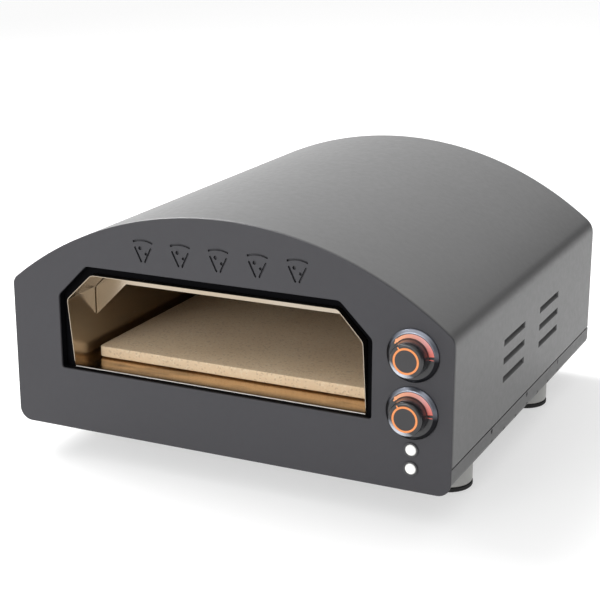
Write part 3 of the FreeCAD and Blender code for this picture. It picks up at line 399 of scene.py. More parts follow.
def glowing(name, colour, strength):
    """A diffuser lit from behind: its light varies a little, as behind moulded plastic."""
    finish = Finish(name, roughness=0.3)
    cloud = finish.noise(260.0, 2.0)
    finish.set("Base Color", tinted(colour, 0.15))
    finish.set("Emission Color", finish.mix(cloud, tinted(colour, 0.92), tinted(colour, 1.0)))
    finish.set("Emission Strength", strength)
    return finish.material


def fibrous(name, colour):
    """Matted fibres: two stretched noises crossed, over a soft drift of colour."""
    finish = Finish(name, roughness=0.95)
    strands = finish.noise(500.0, 3.0, stretch=(1, 0.1, 1)) * 0.5 + finish.noise(
        500.0, 3.0, stretch=(0.1, 1, 1), seed=2.0) * 0.5
    finish.set("Base Color", finish.mix(strands, tinted(colour, 0.65), tinted(colour, 1.2)))
    finish.relief(strands, 0.8, 0.8)
    return finish.material


# %% Every slot's finish
PANEL_GREY = (0.0305, 0.0298, 0.0350)
SHELL_GREY = (0.101, 0.101, 0.1015)
finishes = {
    "panel_paint": powder_coat("panel_powder_coat", PANEL_GREY, 0.52),
    "shell_paint": powder_coat("shell_powder_coat", SHELL_GREY, 0.40),
    # Painted light: the tray's coat is the shell's grey made 12 % lighter, for the light the floor throws
    # on the lower strip.
    "tray_paint": powder_coat("tray_coat_painted_light", tinted(SHELL_GREY, 1.12), 0.52),
    "foot_paint": powder_coat("foot_powder_coat", (0.40, 0.40, 0.385), 0.45),
    "black_enamel": powder_coat("black_stove_enamel", (0.003, 0.003, 0.004), 0.80, shine=0.06),
    "stainless": stainless("rolled_stainless", (0.45, 0.39, 0.315), 0.20, (1.0, 0.02, 1.0), heat=0.6),
    "zinc_steel": stainless("zinc_plate", (0.55, 0.57, 0.60), 0.38, (0.05, 1.0, 1.0)),
    "screw_steel": stainless("blackened_screws", (0.020, 0.020, 0.022), 0.45, (1.0, 1.0, 0.2)),
    "element_sheath": stainless("heater_sheath", (0.16, 0.13, 0.11), 0.55, (1.0, 0.05, 1.0), heat=1.0),
    "cordierite": fired_stone("fired_cordierite"),
    "ceramic_white": moulded("steatite", (0.78, 0.75, 0.68), 0.55, grain=400.0, relief=0.15),
    "mineral_wool": fibrous("mineral_wool_blanket", (0.62, 0.56, 0.36)),
    "knob_black": moulded("knob_moulding", (0.006, 0.006, 0.008), 0.26, coat=0.5),
    "bezel_black": moulded("bezel_moulding", (0.020, 0.020, 0.022), 0.35, coat=0.3),
    "lit_orange": glowing("lit_orange_ring", (0.90, 0.30, 0.09), 0.95),
    "lamp_white": glowing("lit_white_lens", (1.0, 0.99, 0.96), 1.3),
    "inlet_plastic": moulded("inlet_moulding", (0.018, 0.018, 0.018), 0.45, grain=1200.0),
    "pad_rubber": moulded("pad_rubber", (0.010, 0.010, 0.010), 0.75, grain=900.0, relief=0.3),
    "lead_sleeve": moulded("silicone_sleeve", (0.35, 0.06, 0.04), 0.5),
    "copper": stainless("copper_tube", (0.72, 0.38, 0.24), 0.28, (1.0, 0.1, 1.0)),
}
# The deck's finish carries a painted dark reflection along its front lip.
deck_steel = deck_with_painted_reflection("deck_with_painted_reflection", (0.60, 0.43, 0.25))
own_finish = {"chamber_floor": deck_steel, "stone_rests": deck_steel}
for node, part in frame["nodes"].items():
    part.data.materials.clear()
    part.data.materials.append(own_finish.get(node, finishes[slot_of[node]]))
print("finishes", len(finishes))

# %% [markdown]
# ## Turning numbers into meshes
# Three helpers make nearly every new piece: a grid of points becomes quads, a profile turned
# round an axis becomes a knob or a foot, and a profile carried round a closed outline becomes
# the edge of a plate. `piece` joins such parts, welds their seams, sets the sharp edges by
# angle and puts the result on its body.

# %% Mesh helpers
def quads(grid, wrap=False):
    """Each face joins point (i, j) to (i+1, j), (i+1, j+1) and (i, j+1); wrap closes j."""
    rows, cols = grid.shape[:2]
    index = np.arange(rows * cols).reshape(rows, cols)
    if wrap:
        index = np.hstack([index, index[:, :1]])
    corners = (index[:-1, :-1], index[1:, :-1], index[1:, 1:], index[:-1, 1:])
    return grid.reshape(-1, 3), np.stack(corners, -1).reshape(-1, 4).tolist()


def turned_y(profile, x, z, sides=96):
    """Point (r, y) of the profile goes to x + r cos a, y, z + r sin a, for a round the circle."""
    r, y = np.asarray(profile, float).T
    a = np.linspace(0, 2 * math.pi, sides, endpoint=False)
    grid = np.stack(np.broadcast_arrays(x + r[:, None] * np.cos(a), y[:, None],
                                        z + r[:, None] * np.sin(a)), -1)
    return quads(grid, wrap=True)


def turned_z(profile, x, y, sides=96):
    """Point (r, z) of the profile goes to x + r cos a, y + r sin a, z."""
    r, z = np.asarray(profile, float).T
    a = np.linspace(0, 2 * math.pi, sides, endpoint=False)
    grid = np.stack(np.broadcast_arrays(x + r[:, None] * np.cos(a), y + r[:, None] * np.sin(a),
                                        z[:, None]), -1)
    return quads(grid, wrap=True)


def rounded(profile, radius, steps=5):
    """Replaces each inner corner of a profile by an arc, as a quadratic curve through it."""
    points = np.asarray(profile, float)
    out = [points[0]]
    for before, corner, after in zip(points, points[1:], points[2:]):
        reach_in = min(radius, np.linalg.norm(before - corner) * 0.45)
        reach_out = min(radius, np.linalg.norm(after - corner) * 0.45)
        p = corner + (before - corner) * reach_in / np.linalg.norm(before - corner)
        q = corner + (after - corner) * reach_out / np.linalg.norm(after - corner)
        t = np.linspace(0, 1, steps)[:, None]
        out.extend((1 - t) ** 2 * p + 2 * t * (1 - t) * corner + t ** 2 * q)
    out.append(points[-1])
    return np.array(out)


def moved_out(loop, distance):
    """Each point of a closed outline moves along its mitred normal by distance."""
    ahead = np.roll(loop, -1, 0) - loop
    ahead /= np.linalg.norm(ahead, axis=1)[:, None]
    behind = np.roll(ahead, 1, 0)
    normal = np.stack([ahead[:, 1] + behind[:, 1], -ahead[:, 0] - behind[:, 0]], 1)
    normal /= np.linalg.norm(normal, axis=1)[:, None]
    lean = np.maximum(normal[:, 0] * ahead[:, 1] - normal[:, 1] * ahead[:, 0], 0.5)
    area = (loop[:, 0] * np.roll(loop[:, 1], -1) - np.roll(loop[:, 0], -1) * loop[:, 1]).sum()
    return loop + normal * (distance * np.sign(area) / lean)[:, None]


def carried(loop, profile):
    """Row k of the grid is the outline moved out by the profile's first number, at its depth y."""
    rows = []
    for out, y in profile:
        ring = moved_out(loop, out)
        rows.append(np.column_stack([ring[:, 0], np.full(len(ring), y), ring[:, 1]]))
    return quads(np.stack(rows), wrap=True)


def filled(loops, y):
    """A flat face at depth y inside the first outline and outside the others."""
    curve = bpy.data.curves.new("outline", "CURVE")
    curve.dimensions = "2D"
    curve.fill_mode = "BOTH"
    for loop in loops:
        spline = curve.splines.new("POLY")
        spline.points.add(len(loop) - 1)
        flat = np.column_stack([loop, np.zeros(len(loop)), np.ones(len(loop))])
        spline.points.foreach_set("co", flat.ravel())
        spline.use_cyclic_u = True
    holder = bpy.data.objects.new("outline", curve)
    mesh = bpy.data.meshes.new_from_object(holder)
    co = np.empty(len(mesh.vertices) * 3)
    mesh.vertices.foreach_get("co", co)
    co = co.reshape(-1, 3)
    faces = [tuple(p.vertices) for p in mesh.polygons]
    bpy.data.objects.remove(holder)
    bpy.data.meshes.remove(mesh)
    return np.column_stack([co[:, 0], np.full(len(co), y), co[:, 1]]), faces


def looking_out(points, faces):
    """The faces, all reversed if together they look towards the oven's middle line."""
    corners = np.asarray(points)[np.array(faces)]
    normal = np.cross(corners[:, 1] - corners[:, 0], corners[:, 2] - corners[:, 0])
    away = corners.mean(1) * (1, 0, 1) - (0, 0, 100.0)
    return faces if (normal * away).sum() > 0 else [face[::-1] for face in faces]


def thickened(made, wall):
    """Gives an open sheet its thickness, inwards, and returns the new mesh."""
    thick = made.modifiers.new("wall", "SOLIDIFY")
    thick.thickness = wall * MM
    thick.offset = -1.0
    solid = bpy.data.meshes.new_from_object(made.evaluated_get(bpy.context.evaluated_depsgraph_get()))
    made.modifiers.clear()
    thin = made.data
    made.data = solid
    bpy.data.meshes.remove(thin)
    return solid


def piece(name, parts, body, slot, replaced=(), finish=None, sharp_deg=32.0, wall=0.0):
    """Joins parts of points and faces into one object that rides on a body.

    wall is an open sheet's thickness in millimetres. Faces square to y stay flat, so that no
    tone bleeds across them from the bends around them.
    """
    if wall:
        parts = [(points, looking_out(points, faces)) for points, faces in parts]
    starts = np.cumsum([0] + [len(points) for points, _ in parts])
    points = place(np.concatenate([points for points, _ in parts]))
    faces = [tuple(i + start for i in face) for (_, some), start in zip(parts, starts) for face in some]
    mesh = bpy.data.meshes.new(name)
    mesh.from_pydata(points.tolist(), [], faces)
    work = bmesh.new()
    work.from_mesh(mesh)
    bmesh.ops.remove_doubles(work, verts=work.verts, dist=0.002 * MM)
    if not wall:
        bmesh.ops.recalc_face_normals(work, faces=work.faces)
    work.to_mesh(mesh)
    work.free()
    made = bpy.data.objects.new(name, mesh)
    bpy.context.scene.collection.objects.link(made)
    if wall:
        mesh = thickened(made, wall)
    mesh.shade_smooth()
    mesh.set_sharp_from_angle(angle=math.radians(sharp_deg))
    normals = np.empty(3 * len(mesh.polygons))
    mesh.polygons.foreach_get("normal", normals)
    mesh.polygons.foreach_set("use_smooth", np.abs(normals[1::3]) < 0.9999)
    mesh.materials.append(finish or finishes[slot])
    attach(made, body)
    if replaced:
        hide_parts(*replaced)
    print(name, "vertices", len(mesh.vertices), "faces", len(mesh.polygons))
    return made


# %% [markdown]
# ## The arched outline
# The panel and the shell share one outline: straight sides, a small shoulder rounding, and one
# large arch. The arch's radius follows from the width and from how far the crown stands above
# the spring line: half width squared plus rise squared, over twice the rise.

# %% Arch
SPRING_Z = 147.0
RISE = PANEL_H - SPRING_Z
ARCH_R = (HALF_W ** 2 + RISE ** 2) / (2 * RISE)
ARCH_CZ = PANEL_H - ARCH_R
print("arch radius", round(ARCH_R, 1))


def half_arch(inset, shoulder_r, side_z, arch_steps=48, shoulder_steps=8):
    """Right half of the outline, from the foot of the side up to the crown, moved in by inset."""
    half = HALF_W - inset
    big = ARCH_R - inset
    r = shoulder_r - inset
    cx = half - r
    cz = ARCH_CZ + math.sqrt((big - r) ** 2 - cx ** 2)
    lean = math.atan2(cz - ARCH_CZ, cx)
    low = np.column_stack([np.full(len(side_z), half), side_z])
    a = np.linspace(0, lean, shoulder_steps)
    turn = np.column_stack([cx + r * np.cos(a), cz + r * np.sin(a)])
    a = np.linspace(lean, math.pi / 2, arch_steps)[1:]
    crown = np.column_stack([big * np.cos(a), ARCH_CZ + big * np.sin(a)])
    return np.concatenate([low, turn, crown])


def full_arch(inset, shoulder_r, side_z):
    """The whole open outline, from the right side's foot over the crown to the left side's."""
    right = half_arch(inset, shoulder_r, side_z)
    left = right[-2::-1] * (-1, 1)
    return np.concatenate([right, left])


# %% [markdown]
# ## The front panel
# A flat laser-cut plate: arched top, rounded lower corners, a row of stencilled slices above
# the mouth. The mouth's edge is bent inwards, so it has a soft radius that catches the light.
# A flat curve with holes fills the face, and profiles carried round each outline make the
# edges.

# %% Outlines of the panel
PLATE_T = 2.0
CORNER_R = 13.0
EDGE_R = 0.45
BEND_R = 0.9
MOUTH = {"x": -12.0, "half": 165.0, "low": 62.5, "top": 169.3, "cut": 32.0, "return": 9.5}
COLLAR_Y = MOUTH["return"] + 1.5


def arc_points(cx, cz, r, start_deg, end_deg, steps):
    """Points on a circle between two angles."""
    a = np.radians(np.linspace(start_deg, end_deg, steps))
    return np.column_stack([cx + r * np.cos(a), cz + r * np.sin(a)])


def panel_outline():
    """The arch, closed below by two rounded corners."""
    body = full_arch(0.0, 11.0, np.array([CORNER_R]))
    left = arc_points(-HALF_W + CORNER_R, CORNER_R, CORNER_R, 180, 270, 8)[1:]
    right = arc_points(HALF_W - CORNER_R, CORNER_R, CORNER_R, 270, 360, 8)[:-1]
    return np.concatenate([body, left, right])


def mouth_outline(half, low, top, cut, soften=3.0):
    """A box with its upper corners cut at 45 degrees and every corner slightly rounded."""
    x = MOUTH["x"]
    corners = np.array([(x + half, low), (x + half, top - cut), (x + half - cut, top),
                        (x - half + cut, top), (x - half, top - cut), (x - half, low)])
    closed = np.concatenate([corners[-1:], corners, corners[:1]])
    return rounded(closed, soften)[1:-1]


def slot_outline(centre, length, width, lean_deg):
    """An obround: two half circles joined by straight sides."""
    half = length / 2 - width / 2
    ring = np.concatenate([arc_points(half, 0, width / 2, -90, 90, 8),
                           arc_points(-half, 0, width / 2, 90, 270, 8)])
    c, s = math.cos(math.radians(lean_deg)), math.sin(math.radians(lean_deg))
    return ring @ np.array([[c, s], [-s, c]]) + centre


def slice_outlines(x):
    """One stencilled slice: two straight strokes, a crust arc and two round holes."""
    tip = np.array([x, 191.0 - 27.0 / 2])
    crust_r, spread, stroke = 23.0, 26.0, 2.0
    loops = []
    for side in (-1, 1):
        lean = math.radians(90 - side * spread)
        centre = tip + crust_r * 0.52 * np.array([math.cos(lean), math.sin(lean)])
        loops.append(slot_outline(centre, crust_r * 0.72, stroke, 90 - side * spread))
    fan = spread * 0.96
    outer = arc_points(*tip, crust_r + 1.5 * stroke, 90 - fan, 90 + fan, 16)
    inner = arc_points(*tip, crust_r + 0.5 * stroke, 90 + fan, 90 - fan, 16)
    loops.append(np.concatenate([outer, inner]))
    loops.append(arc_points(x - 3.0, tip[1] + crust_r * 0.74, 1.9, 0, 345, 24))
    loops.append(arc_points(x + 3.2, tip[1] + crust_r * 0.52, 1.5, 0, 345, 24))
    return loops


# %% Build the panel
def plate_with_holes(outline, holes, mouth):
    """Front and back faces, rounded outer edge, plain hole walls and the bent edge of the mouth."""
    t = PLATE_T
    edge = [(-EDGE_R, 0.0), (-EDGE_R * 0.3, EDGE_R * 0.3), (0.0, EDGE_R), (0.0, t)]
    wall = [(0.0, 0.0), (0.0, t)]
    bend = [(BEND_R * (1 - math.sin(a)), BEND_R * (1 - math.cos(a)))
            for a in np.linspace(0, math.pi / 2, 7)]
    bend.append((0.0, t))
    face_loops = [moved_out(outline, -EDGE_R), *holes, moved_out(mouth, BEND_R)]
    rear_loops = [outline, *holes, moved_out(mouth, BEND_R)]
    parts = [filled(face_loops, 0.0), filled(rear_loops, t), carried(outline, edge),
             carried(mouth, bend)]
    parts += [carried(hole, wall) for hole in holes]
    return parts


def mouth_return(mouth):
    """The turned-in strip behind the mouth's edge: inner face, rear rim and outer face."""
    back, sheet = MOUTH["return"], 1.2
    return [carried(mouth, [(0.0, PLATE_T), (0.0, back - 0.3), (0.3, back), (sheet, back),
                            (sheet, PLATE_T)])]


stencil = [loop for i in range(-2, 3) for loop in slice_outlines(40.0 * i)]
mouth_loop = mouth_outline(MOUTH["half"], MOUTH["low"], MOUTH["top"], MOUTH["cut"])
piece("arched_front_plate", plate_with_holes(panel_outline(), stencil, mouth_loop),
      "root", "panel_paint", ["front_panel"])
# The turned-in strip is the panel's own sheet, coloured black as painted shade where it lies in shadow.
piece("mouth_return_strip", mouth_return(mouth_loop), "root", "black_enamel")

# %% [markdown]
# ## The shell
# One long sheet is bent over both sides and the crown. Its front edge turns in behind the
# panel with a soft bend that shows as a pale line, and each side has six louvres pressed
# inwards. The sheet is a grid: outline points one way, depth the other. The cells where a
# louvre goes are left out, and a pressed pocket takes their place: its depth grows from the
# lower lip to the open upper one, and dies out quickly at both ends. Their coat darkens with
# depth, which is painted shade.

# %% Shell sheet
SHELL_Y0 = PLATE_T
SHELL_Y1 = BODY_D - 1.2
SHELL_LOW = (shell_low.z - panel_low.z) / MM
SEAM_Z = 27.4
FRONT_BEND = 2.5
LOUVRE = {"y": (176.0, 293.5), "z": (102.3, 83.8, 65.3), "long": 67.0, "high": 6.6, "deep": 5.0}


def louvre_spans():
    """(first y, last y, lower z, upper z) of the six louvres of one side."""
    return [(y - LOUVRE["long"] / 2, y + LOUVRE["long"] / 2, z - LOUVRE["high"] / 2,
             z + LOUVRE["high"] / 2) for y in LOUVRE["y"] for z in LOUVRE["z"]]


def shell_sheet():
    """The grid of the sheet, without the cells that the louvres take."""
    spans = louvre_spans()
    side_z = np.unique([SEAM_Z, 40.0, 125.0] + [z for span in spans for z in span[2:]])
    flat_y = np.unique([y for span in spans for y in span[:2]] + list(np.linspace(20, 440, 12)))
    a = np.linspace(0, math.pi / 2, 7)
    bend = np.column_stack([FRONT_BEND * (1 - np.sin(a)), SHELL_Y0 + FRONT_BEND * (1 - np.cos(a))])
    rear_bend = [(0.0, SHELL_Y1 - 0.8), (0.8, SHELL_Y1), (14.0, SHELL_Y1)]
    tail = [(0.0, SHELL_Y0 + FRONT_BEND + 0.6)] + [(0.0, y) for y in flat_y] + rear_bend
    columns = np.concatenate([[(14.0, SHELL_Y0)], bend, tail])
    rings = []
    for inset, y in columns:
        ring = full_arch(inset, 19.5, side_z)
        rings.append(np.column_stack([ring[:, 0], np.full(len(ring), y), ring[:, 1]]))
    grid = np.stack(rings)
    points, faces = quads(grid)
    middle = points[np.array(faces)].mean(1)
    keep = np.ones(len(faces), bool)
    for y0, y1, z0, z1 in spans:
        inside = (middle[:, 1] > y0) & (middle[:, 1] < y1) & (middle[:, 2] > z0) & (middle[:, 2] < z1)
        keep &= ~(inside & (np.abs(middle[:, 0]) > HALF_W - 1))
    return points, np.array(faces)[keep].tolist()


def louvre_pocket(side, y0, y1, z0, z1):
    """Depth is t times a step that rises over 1.2 mm from each end, t from lower to upper lip."""
    ramp = np.array([0.0, 0.3, 0.6, 0.9, 1.2])
    y = np.concatenate([y0 + ramp, np.linspace(y0 + 6, y1 - 6, 8), (y1 - ramp)[::-1]])
    t = np.linspace(0, 1, 9)
    reach = np.clip(np.minimum(y - y0, y1 - y) / ramp[-1], 0, 1)
    step = reach * reach * (3 - 2 * reach)
    depth = LOUVRE["deep"] * step[:, None] * t ** 0.6
    grid = np.stack(np.broadcast_arrays(side * (HALF_W - depth), y[:, None], z0 + (z1 - z0) * t), -1)
    return quads(grid)


pockets = [louvre_pocket(side, *span) for side in (-1, 1) for span in louvre_spans()]
# The louvres' coat carries painted shade that deepens into the pockets.
shaded_louvre_coat = powder_coat("louvre_coat_painted_shade", SHELL_GREY, 0.45, recess_shade=0.55)
piece("bent_outer_shell", [shell_sheet()], "root", "shell_paint", ["outer_shell"],
      sharp_deg=20.0, wall=1.2)
piece("pressed_louvres", pockets, "root", "shell_paint", finish=shaded_louvre_coat, sharp_deg=40.0, wall=1.2)

# %% [markdown]
# ## The stainless chamber
# The liner is one bent sheet whose front edge is raked: foremost at the shoulder, further back
# at the floor and at the ceiling. That bright raw edge outlines the mouth. The sheet is drawn
# as its inner section carried to the back, with soft bends at the four corners.

# %% Liner
LINER = {"half": 155.5, "low": 61.5, "top": 159.4, "cut": 26.0, "back": 355.0, "wall": 0.6}
RAKE_Z = (62.7, 133.4, 159.4)
RAKE_Y = (9.8, 0.6, 3.6)


def liner_sheet():
    """Inner and outer skins of the section, their front and back rims, raked by height."""
    inner = mouth_outline(LINER["half"], LINER["low"], LINER["top"], LINER["cut"], 3.0)
    outer = moved_out(inner, LINER["wall"])
    low = LINER["low"]
    keep = inner[:, 1] > low + 2.9
    x, half = MOUTH["x"], LINER["half"]
    ends = [np.array([[x + half, low]]), np.array([[x - half, low]])]
    grow = LINER["wall"]
    outer_ends = [np.array([[x + half + grow, low]]), np.array([[x - half - grow, low]])]
    inner = np.concatenate([ends[0], inner[keep], ends[1]])
    outer = np.concatenate([outer_ends[0], outer[keep], outer_ends[1]])
    front = np.interp(inner[:, 1], RAKE_Z, RAKE_Y)
    rows = []
    for ring, at in ((inner, np.linspace(1, 0, 24)), (outer, np.linspace(0, 1, 24))):
        for t in at:
            y = front + (LINER["back"] - front) * t
            rows.append(np.column_stack([ring[:, 0], y, ring[:, 1]]))
    rows.append(rows[0])
    return quads(np.stack(rows))


piece("bent_chamber_liner", [liner_sheet()], "root", "stainless", ["chamber_liner"])

# %% [markdown]
# ## Baffle and deck lip
# The baffle is a flat plate that hangs across the top of the chamber. It is cut a little
# narrower than the liner, and the narrow gaps show as dark seams at both walls. The deck's
# front edge is rolled and left bright, so a thin light line runs along the foot of the mouth.

# %% Baffle plate
WALL_GAP = 0.8


def baffle_plate():
    """Front and back faces of the plate's outline, and a plain edge between them."""
    low, high = measured("mouth_baffle")
    x, half = MOUTH["x"], LINER["half"] - WALL_GAP
    top, tip = high[2] - 0.2, low[2]
    opening, reach = 140.4, high[2] - LINER["cut"]
    lean = opening - tip
    loop = np.array([(x + half, tip), (x + half, reach), (x + half - LINER["cut"], top),
                     (x - half + LINER["cut"], top), (x - half, reach), (x - half, tip),
                     (x - half + lean, opening), (x + half - lean, opening)])
    y0, y1 = low[1], high[1]
    return [filled([loop], y0), filled([loop], y1), carried(loop, [(0.0, y0), (0.0, y1)])]


piece("hung_baffle_plate", baffle_plate(), "root", "stainless", ["mouth_baffle"])


# %% Deck lip
def deck_lip():
    """A half-round bead of 0.9 mm along the deck's front edge, 0.2 mm proud of it."""
    low, high = measured("chamber_floor")
    a = np.linspace(-math.pi / 2, math.pi, 14)
    y = low[1] + 0.7 - 0.9 * np.cos(a)
    z = high[2] - 0.75 + 0.9 * np.sin(a)
    x = np.linspace(low[0] + 0.3, high[0] - 0.3, 40)
    grid = np.stack(np.broadcast_arrays(x[:, None], y, z), -1)
    return quads(grid)


raw_edge = stainless("bright_raw_edge", (0.92, 0.90, 0.86), 0.45, (0.05, 1.0, 1.0))
piece("rolled_deck_lip", [deck_lip()], "root", "stainless", finish=raw_edge)

# %% [markdown]
# ## The stone
# A square slab with rounded corners. Real ones have a soft, slightly uneven arris, so the edge
# profile is carried round the outline and then moved in and out by a fraction of a millimetre
# with a few sine waves of different lengths.

# %% Stone slab
def stone_slab():
    """Top and bottom faces, and a rounded edge whose outline wanders by up to 0.25 mm."""
    low, high = measured("pizza_stone")
    x0, x1, y0, y1 = low[0], high[0], low[1], high[1]
    r = 4.5
    ring = np.concatenate([arc_points(x1 - r, y0 + r, r, 270, 360, 7),
                           arc_points(x1 - r, y1 - r, r, 0, 90, 7),
                           arc_points(x0 + r, y1 - r, r, 90, 180, 7),
                           arc_points(x0 + r, y0 + r, r, 180, 270, 7)])
    dense = []
    for p, q in zip(ring, np.roll(ring, -1, 0)):
        steps = max(1, int(np.linalg.norm(q - p) / 4))
        dense.append(p + (q - p) * np.arange(steps)[:, None] / steps)
    ring = np.concatenate(dense)
    s = np.arange(len(ring))
    wander = -0.14 + 0.06 * np.sin(s * 0.61) + 0.05 * np.sin(s * 1.37 + 1) + 0.04 * np.sin(s * 2.9 + 2)
    soft = 1.3
    profile = [(-soft, 0.0), (-soft * 0.45, soft * 0.12), (-soft * 0.12, soft * 0.45), (0, soft),
               (0, high[2] - low[2] - soft), (-soft * 0.12, high[2] - low[2] - soft * 0.45),
               (-soft * 0.45, high[2] - low[2] - soft * 0.12), (-soft, high[2] - low[2])]
    rows = []
    for out, z in profile:
        edge = moved_out(ring, out) + (moved_out(ring, 1.0) - ring) * wander[:, None]
        rows.append(np.column_stack([edge, np.full(len(edge), low[2] + z)]))
    band = quads(np.stack(rows), wrap=True)
    caps = [(rows[0], [tuple(range(len(ring)))]), (rows[-1], [tuple(range(len(ring)))])]
    return [band, *caps]


piece("pressed_stone_slab", stone_slab(), "stone", "cordierite", ["pizza_stone"])

# %% [markdown]
# ## Dials
# Each control is four turned pieces: the bezel's flat black face, its lacquered chamfer, the
# knob's grip with its skirt and rounded brow, and the cap inside the lit ring. The ring with its
# pointer is let into the knob, 0.08 mm proud. The heat scale is printed on the bezel: a band
# that widens clockwise while its colour runs from orange through pink to red, a dot where it
# starts and a fine stop mark after its end. Its ink carries a faint painted glow. The bright
# lobes on rim and brow are painted highlights, so the brow's turns with the knob.

# %% Dial pieces
KNOB_X = 192.0
KNOB_Z = {"upper": 128.7, "lower": 75.0}
BEZEL_Y = -4.0
KNOB_FACE_Y = -18.3

RING_R = (10.3, 12.1)
GROUND_Y = KNOB_FACE_Y + 0.08
SEAT_Y = KNOB_FACE_Y + 1.0
FACE_PROFILE = rounded([(8.5, -2.4), (8.5, BEZEL_Y), (21.2, BEZEL_Y)], 0.2)
RIM_PROFILE = rounded([(21.2, BEZEL_Y), (22.0, BEZEL_Y), (24.6, -1.5), (24.7, 0.0), (23.2, 0.0),
                       (23.2, -1.2), (20.6, -2.4), (8.5, -2.4)], 0.35)
GRIP_PROFILE = rounded([(RING_R[1], SEAT_Y), (RING_R[1], GROUND_Y), (14.6, GROUND_Y),
                        (15.9, KNOB_FACE_Y + 1.2), (16.1, -14.3), (16.4, -7.0), (16.8, -6.4),
                        (16.8, -4.7), (14.5, -4.7), (14.0, -14.3), (6.0, -14.3), (6.0, -4.7),
                        (3.1, -4.7), (3.1, -14.5), (0.0, -14.5)], 0.8)
CAP_PROFILE = rounded([(RING_R[1], SEAT_Y), (RING_R[0], SEAT_Y), (RING_R[0], GROUND_Y),
                       (0.0, GROUND_Y)], 0.25)


def from_centre(finish, z):
    """Metres right of a dial's centre, behind the panel's face and above the centre."""
    centre = tuple(place([KNOB_X, 0.0, z]))
    offset = finish.node("ShaderNodeVectorMath", {"operation": "SUBTRACT"}, {0: finish.place, 1: centre})
    right = finish.node("ShaderNodeSeparateXYZ", {}, {0: offset})
    sockets = right.socket.node.outputs
    return right, Value(finish, sockets[1]), Value(finish, sockets[2])


def facing(right, up, deg, radius_mm):
    """1 on the side deg clockwise from the top, -1 opposite, at that radius."""
    a = math.radians(deg)
    return (right * math.sin(a) + up * math.cos(a)) * (1 / (radius_mm * MM))


def rim_finish(name, z):
    """Dark lacquer over satin metal, with a painted highlight along the top."""
    finish = Finish(name, metallic=1.0)
    right, _, up = from_centre(finish, z)
    lines = finish.noise(700.0, 2.0, stretch=(1.0, 1.0, 0.3))
    bright = finish.mix(lines * 0.35, (0.36, 0.38, 0.44), (0.27, 0.29, 0.35))
    # Painted highlight: the chamfer turns bright towards its top.
    finish.set("Base Color", finish.mix(facing(right, up, 12.0, 23.5).over(0.50, 0.80),
                                        (0.014, 0.014, 0.016), bright))
    finish.set("Roughness", lines * 0.08 + 0.26)
    return finish.material


def grip_finish(name, z):
    """Glossy black, with a painted highlight on the brow, at its lower left when at rest."""
    finish = Finish(name, coat_weight=0.6, coat_roughness=0.10)
    right, deep, up = from_centre(finish, z)
    grit = finish.noise(900.0, 3.0)
    # Painted highlight: a bright, metal-like lobe on the brow's lower left.
    painted_glint = facing(right, up, 208.0, 15.0).over(0.74, 0.44) * (1.0 - deep.over(-0.0168, 0.0008))
    tone = finish.mix(grit, (0.0045, 0.0045, 0.006), (0.007, 0.007, 0.009))
    finish.set("Base Color", finish.mix(painted_glint, tone, (0.62, 0.66, 0.74)))
    finish.set("Metallic", painted_glint * 0.9)
    finish.set("Roughness", grit * 0.10 + 0.24)
    finish.relief(grit, 0.05, 0.05)
    return finish.material


cap_finish = moulded("knob_cap_moulding", (0.030, 0.029, 0.031), 0.50)
for level, z in KNOB_Z.items():
    body = f"{level}_control"
    piece(f"{level}_dial_face", [turned_y(FACE_PROFILE, KNOB_X, z)], "root", "bezel_black",
          [f"{level}_bezel"])
    piece(f"{level}_dial_rim", [turned_y(RIM_PROFILE, KNOB_X, z)], "root", "bezel_black",
          finish=rim_finish(f"{level}_rim_lacquer_painted_highlight", z))
    piece(f"{level}_knob_grip", [turned_y(GRIP_PROFILE, KNOB_X, z)], body, "knob_black",
          [f"{level}_knob"], finish=grip_finish(f"{level}_grip_gloss_painted_glint", z))
    piece(f"{level}_knob_cap", [turned_y(CAP_PROFILE, KNOB_X, z)], body, "knob_black",
          finish=cap_finish)


# %% Printed heat scale
def clock_point(z, r, deg):
    """x and z at radius r and deg clockwise from twelve o'clock."""
    a = np.radians(deg)
    return KNOB_X + r * np.sin(a), z + r * np.cos(a)


def heat_band(z):
    """The band's inner and outer radius change with the angle from -58 to 83 degrees."""
    deg = np.linspace(-58, 83, 90)
    inner = np.interp(deg, (-58, -40, 0, 60, 83), (18.4, 17.6, 16.9, 16.2, 15.4))
    outer = np.interp(deg, (-58, -40, 0, 60, 83), (19.6, 20.3, 20.7, 20.8, 21.1))
    rows = []
    for share in (0.0, 0.5, 1.0):
        x, height = clock_point(z, inner + (outer - inner) * share, deg)
        rows.append(np.column_stack([x, np.full(len(deg), BEZEL_Y - 0.04), height]))
    return quads(np.stack(rows))


def printed_spot(z, r, deg, across, along):
    """A small ellipse of ink: across is its radial half width, along its half length."""
    a = np.linspace(0, 2 * math.pi, 32, endpoint=False)
    x, height = clock_point(z, r + across * np.cos(a), deg + np.degrees(along * np.sin(a) / r))
    ring = np.column_stack([x, np.full(len(a), BEZEL_Y - 0.06), height])
    return ring, [tuple(range(len(a)))]


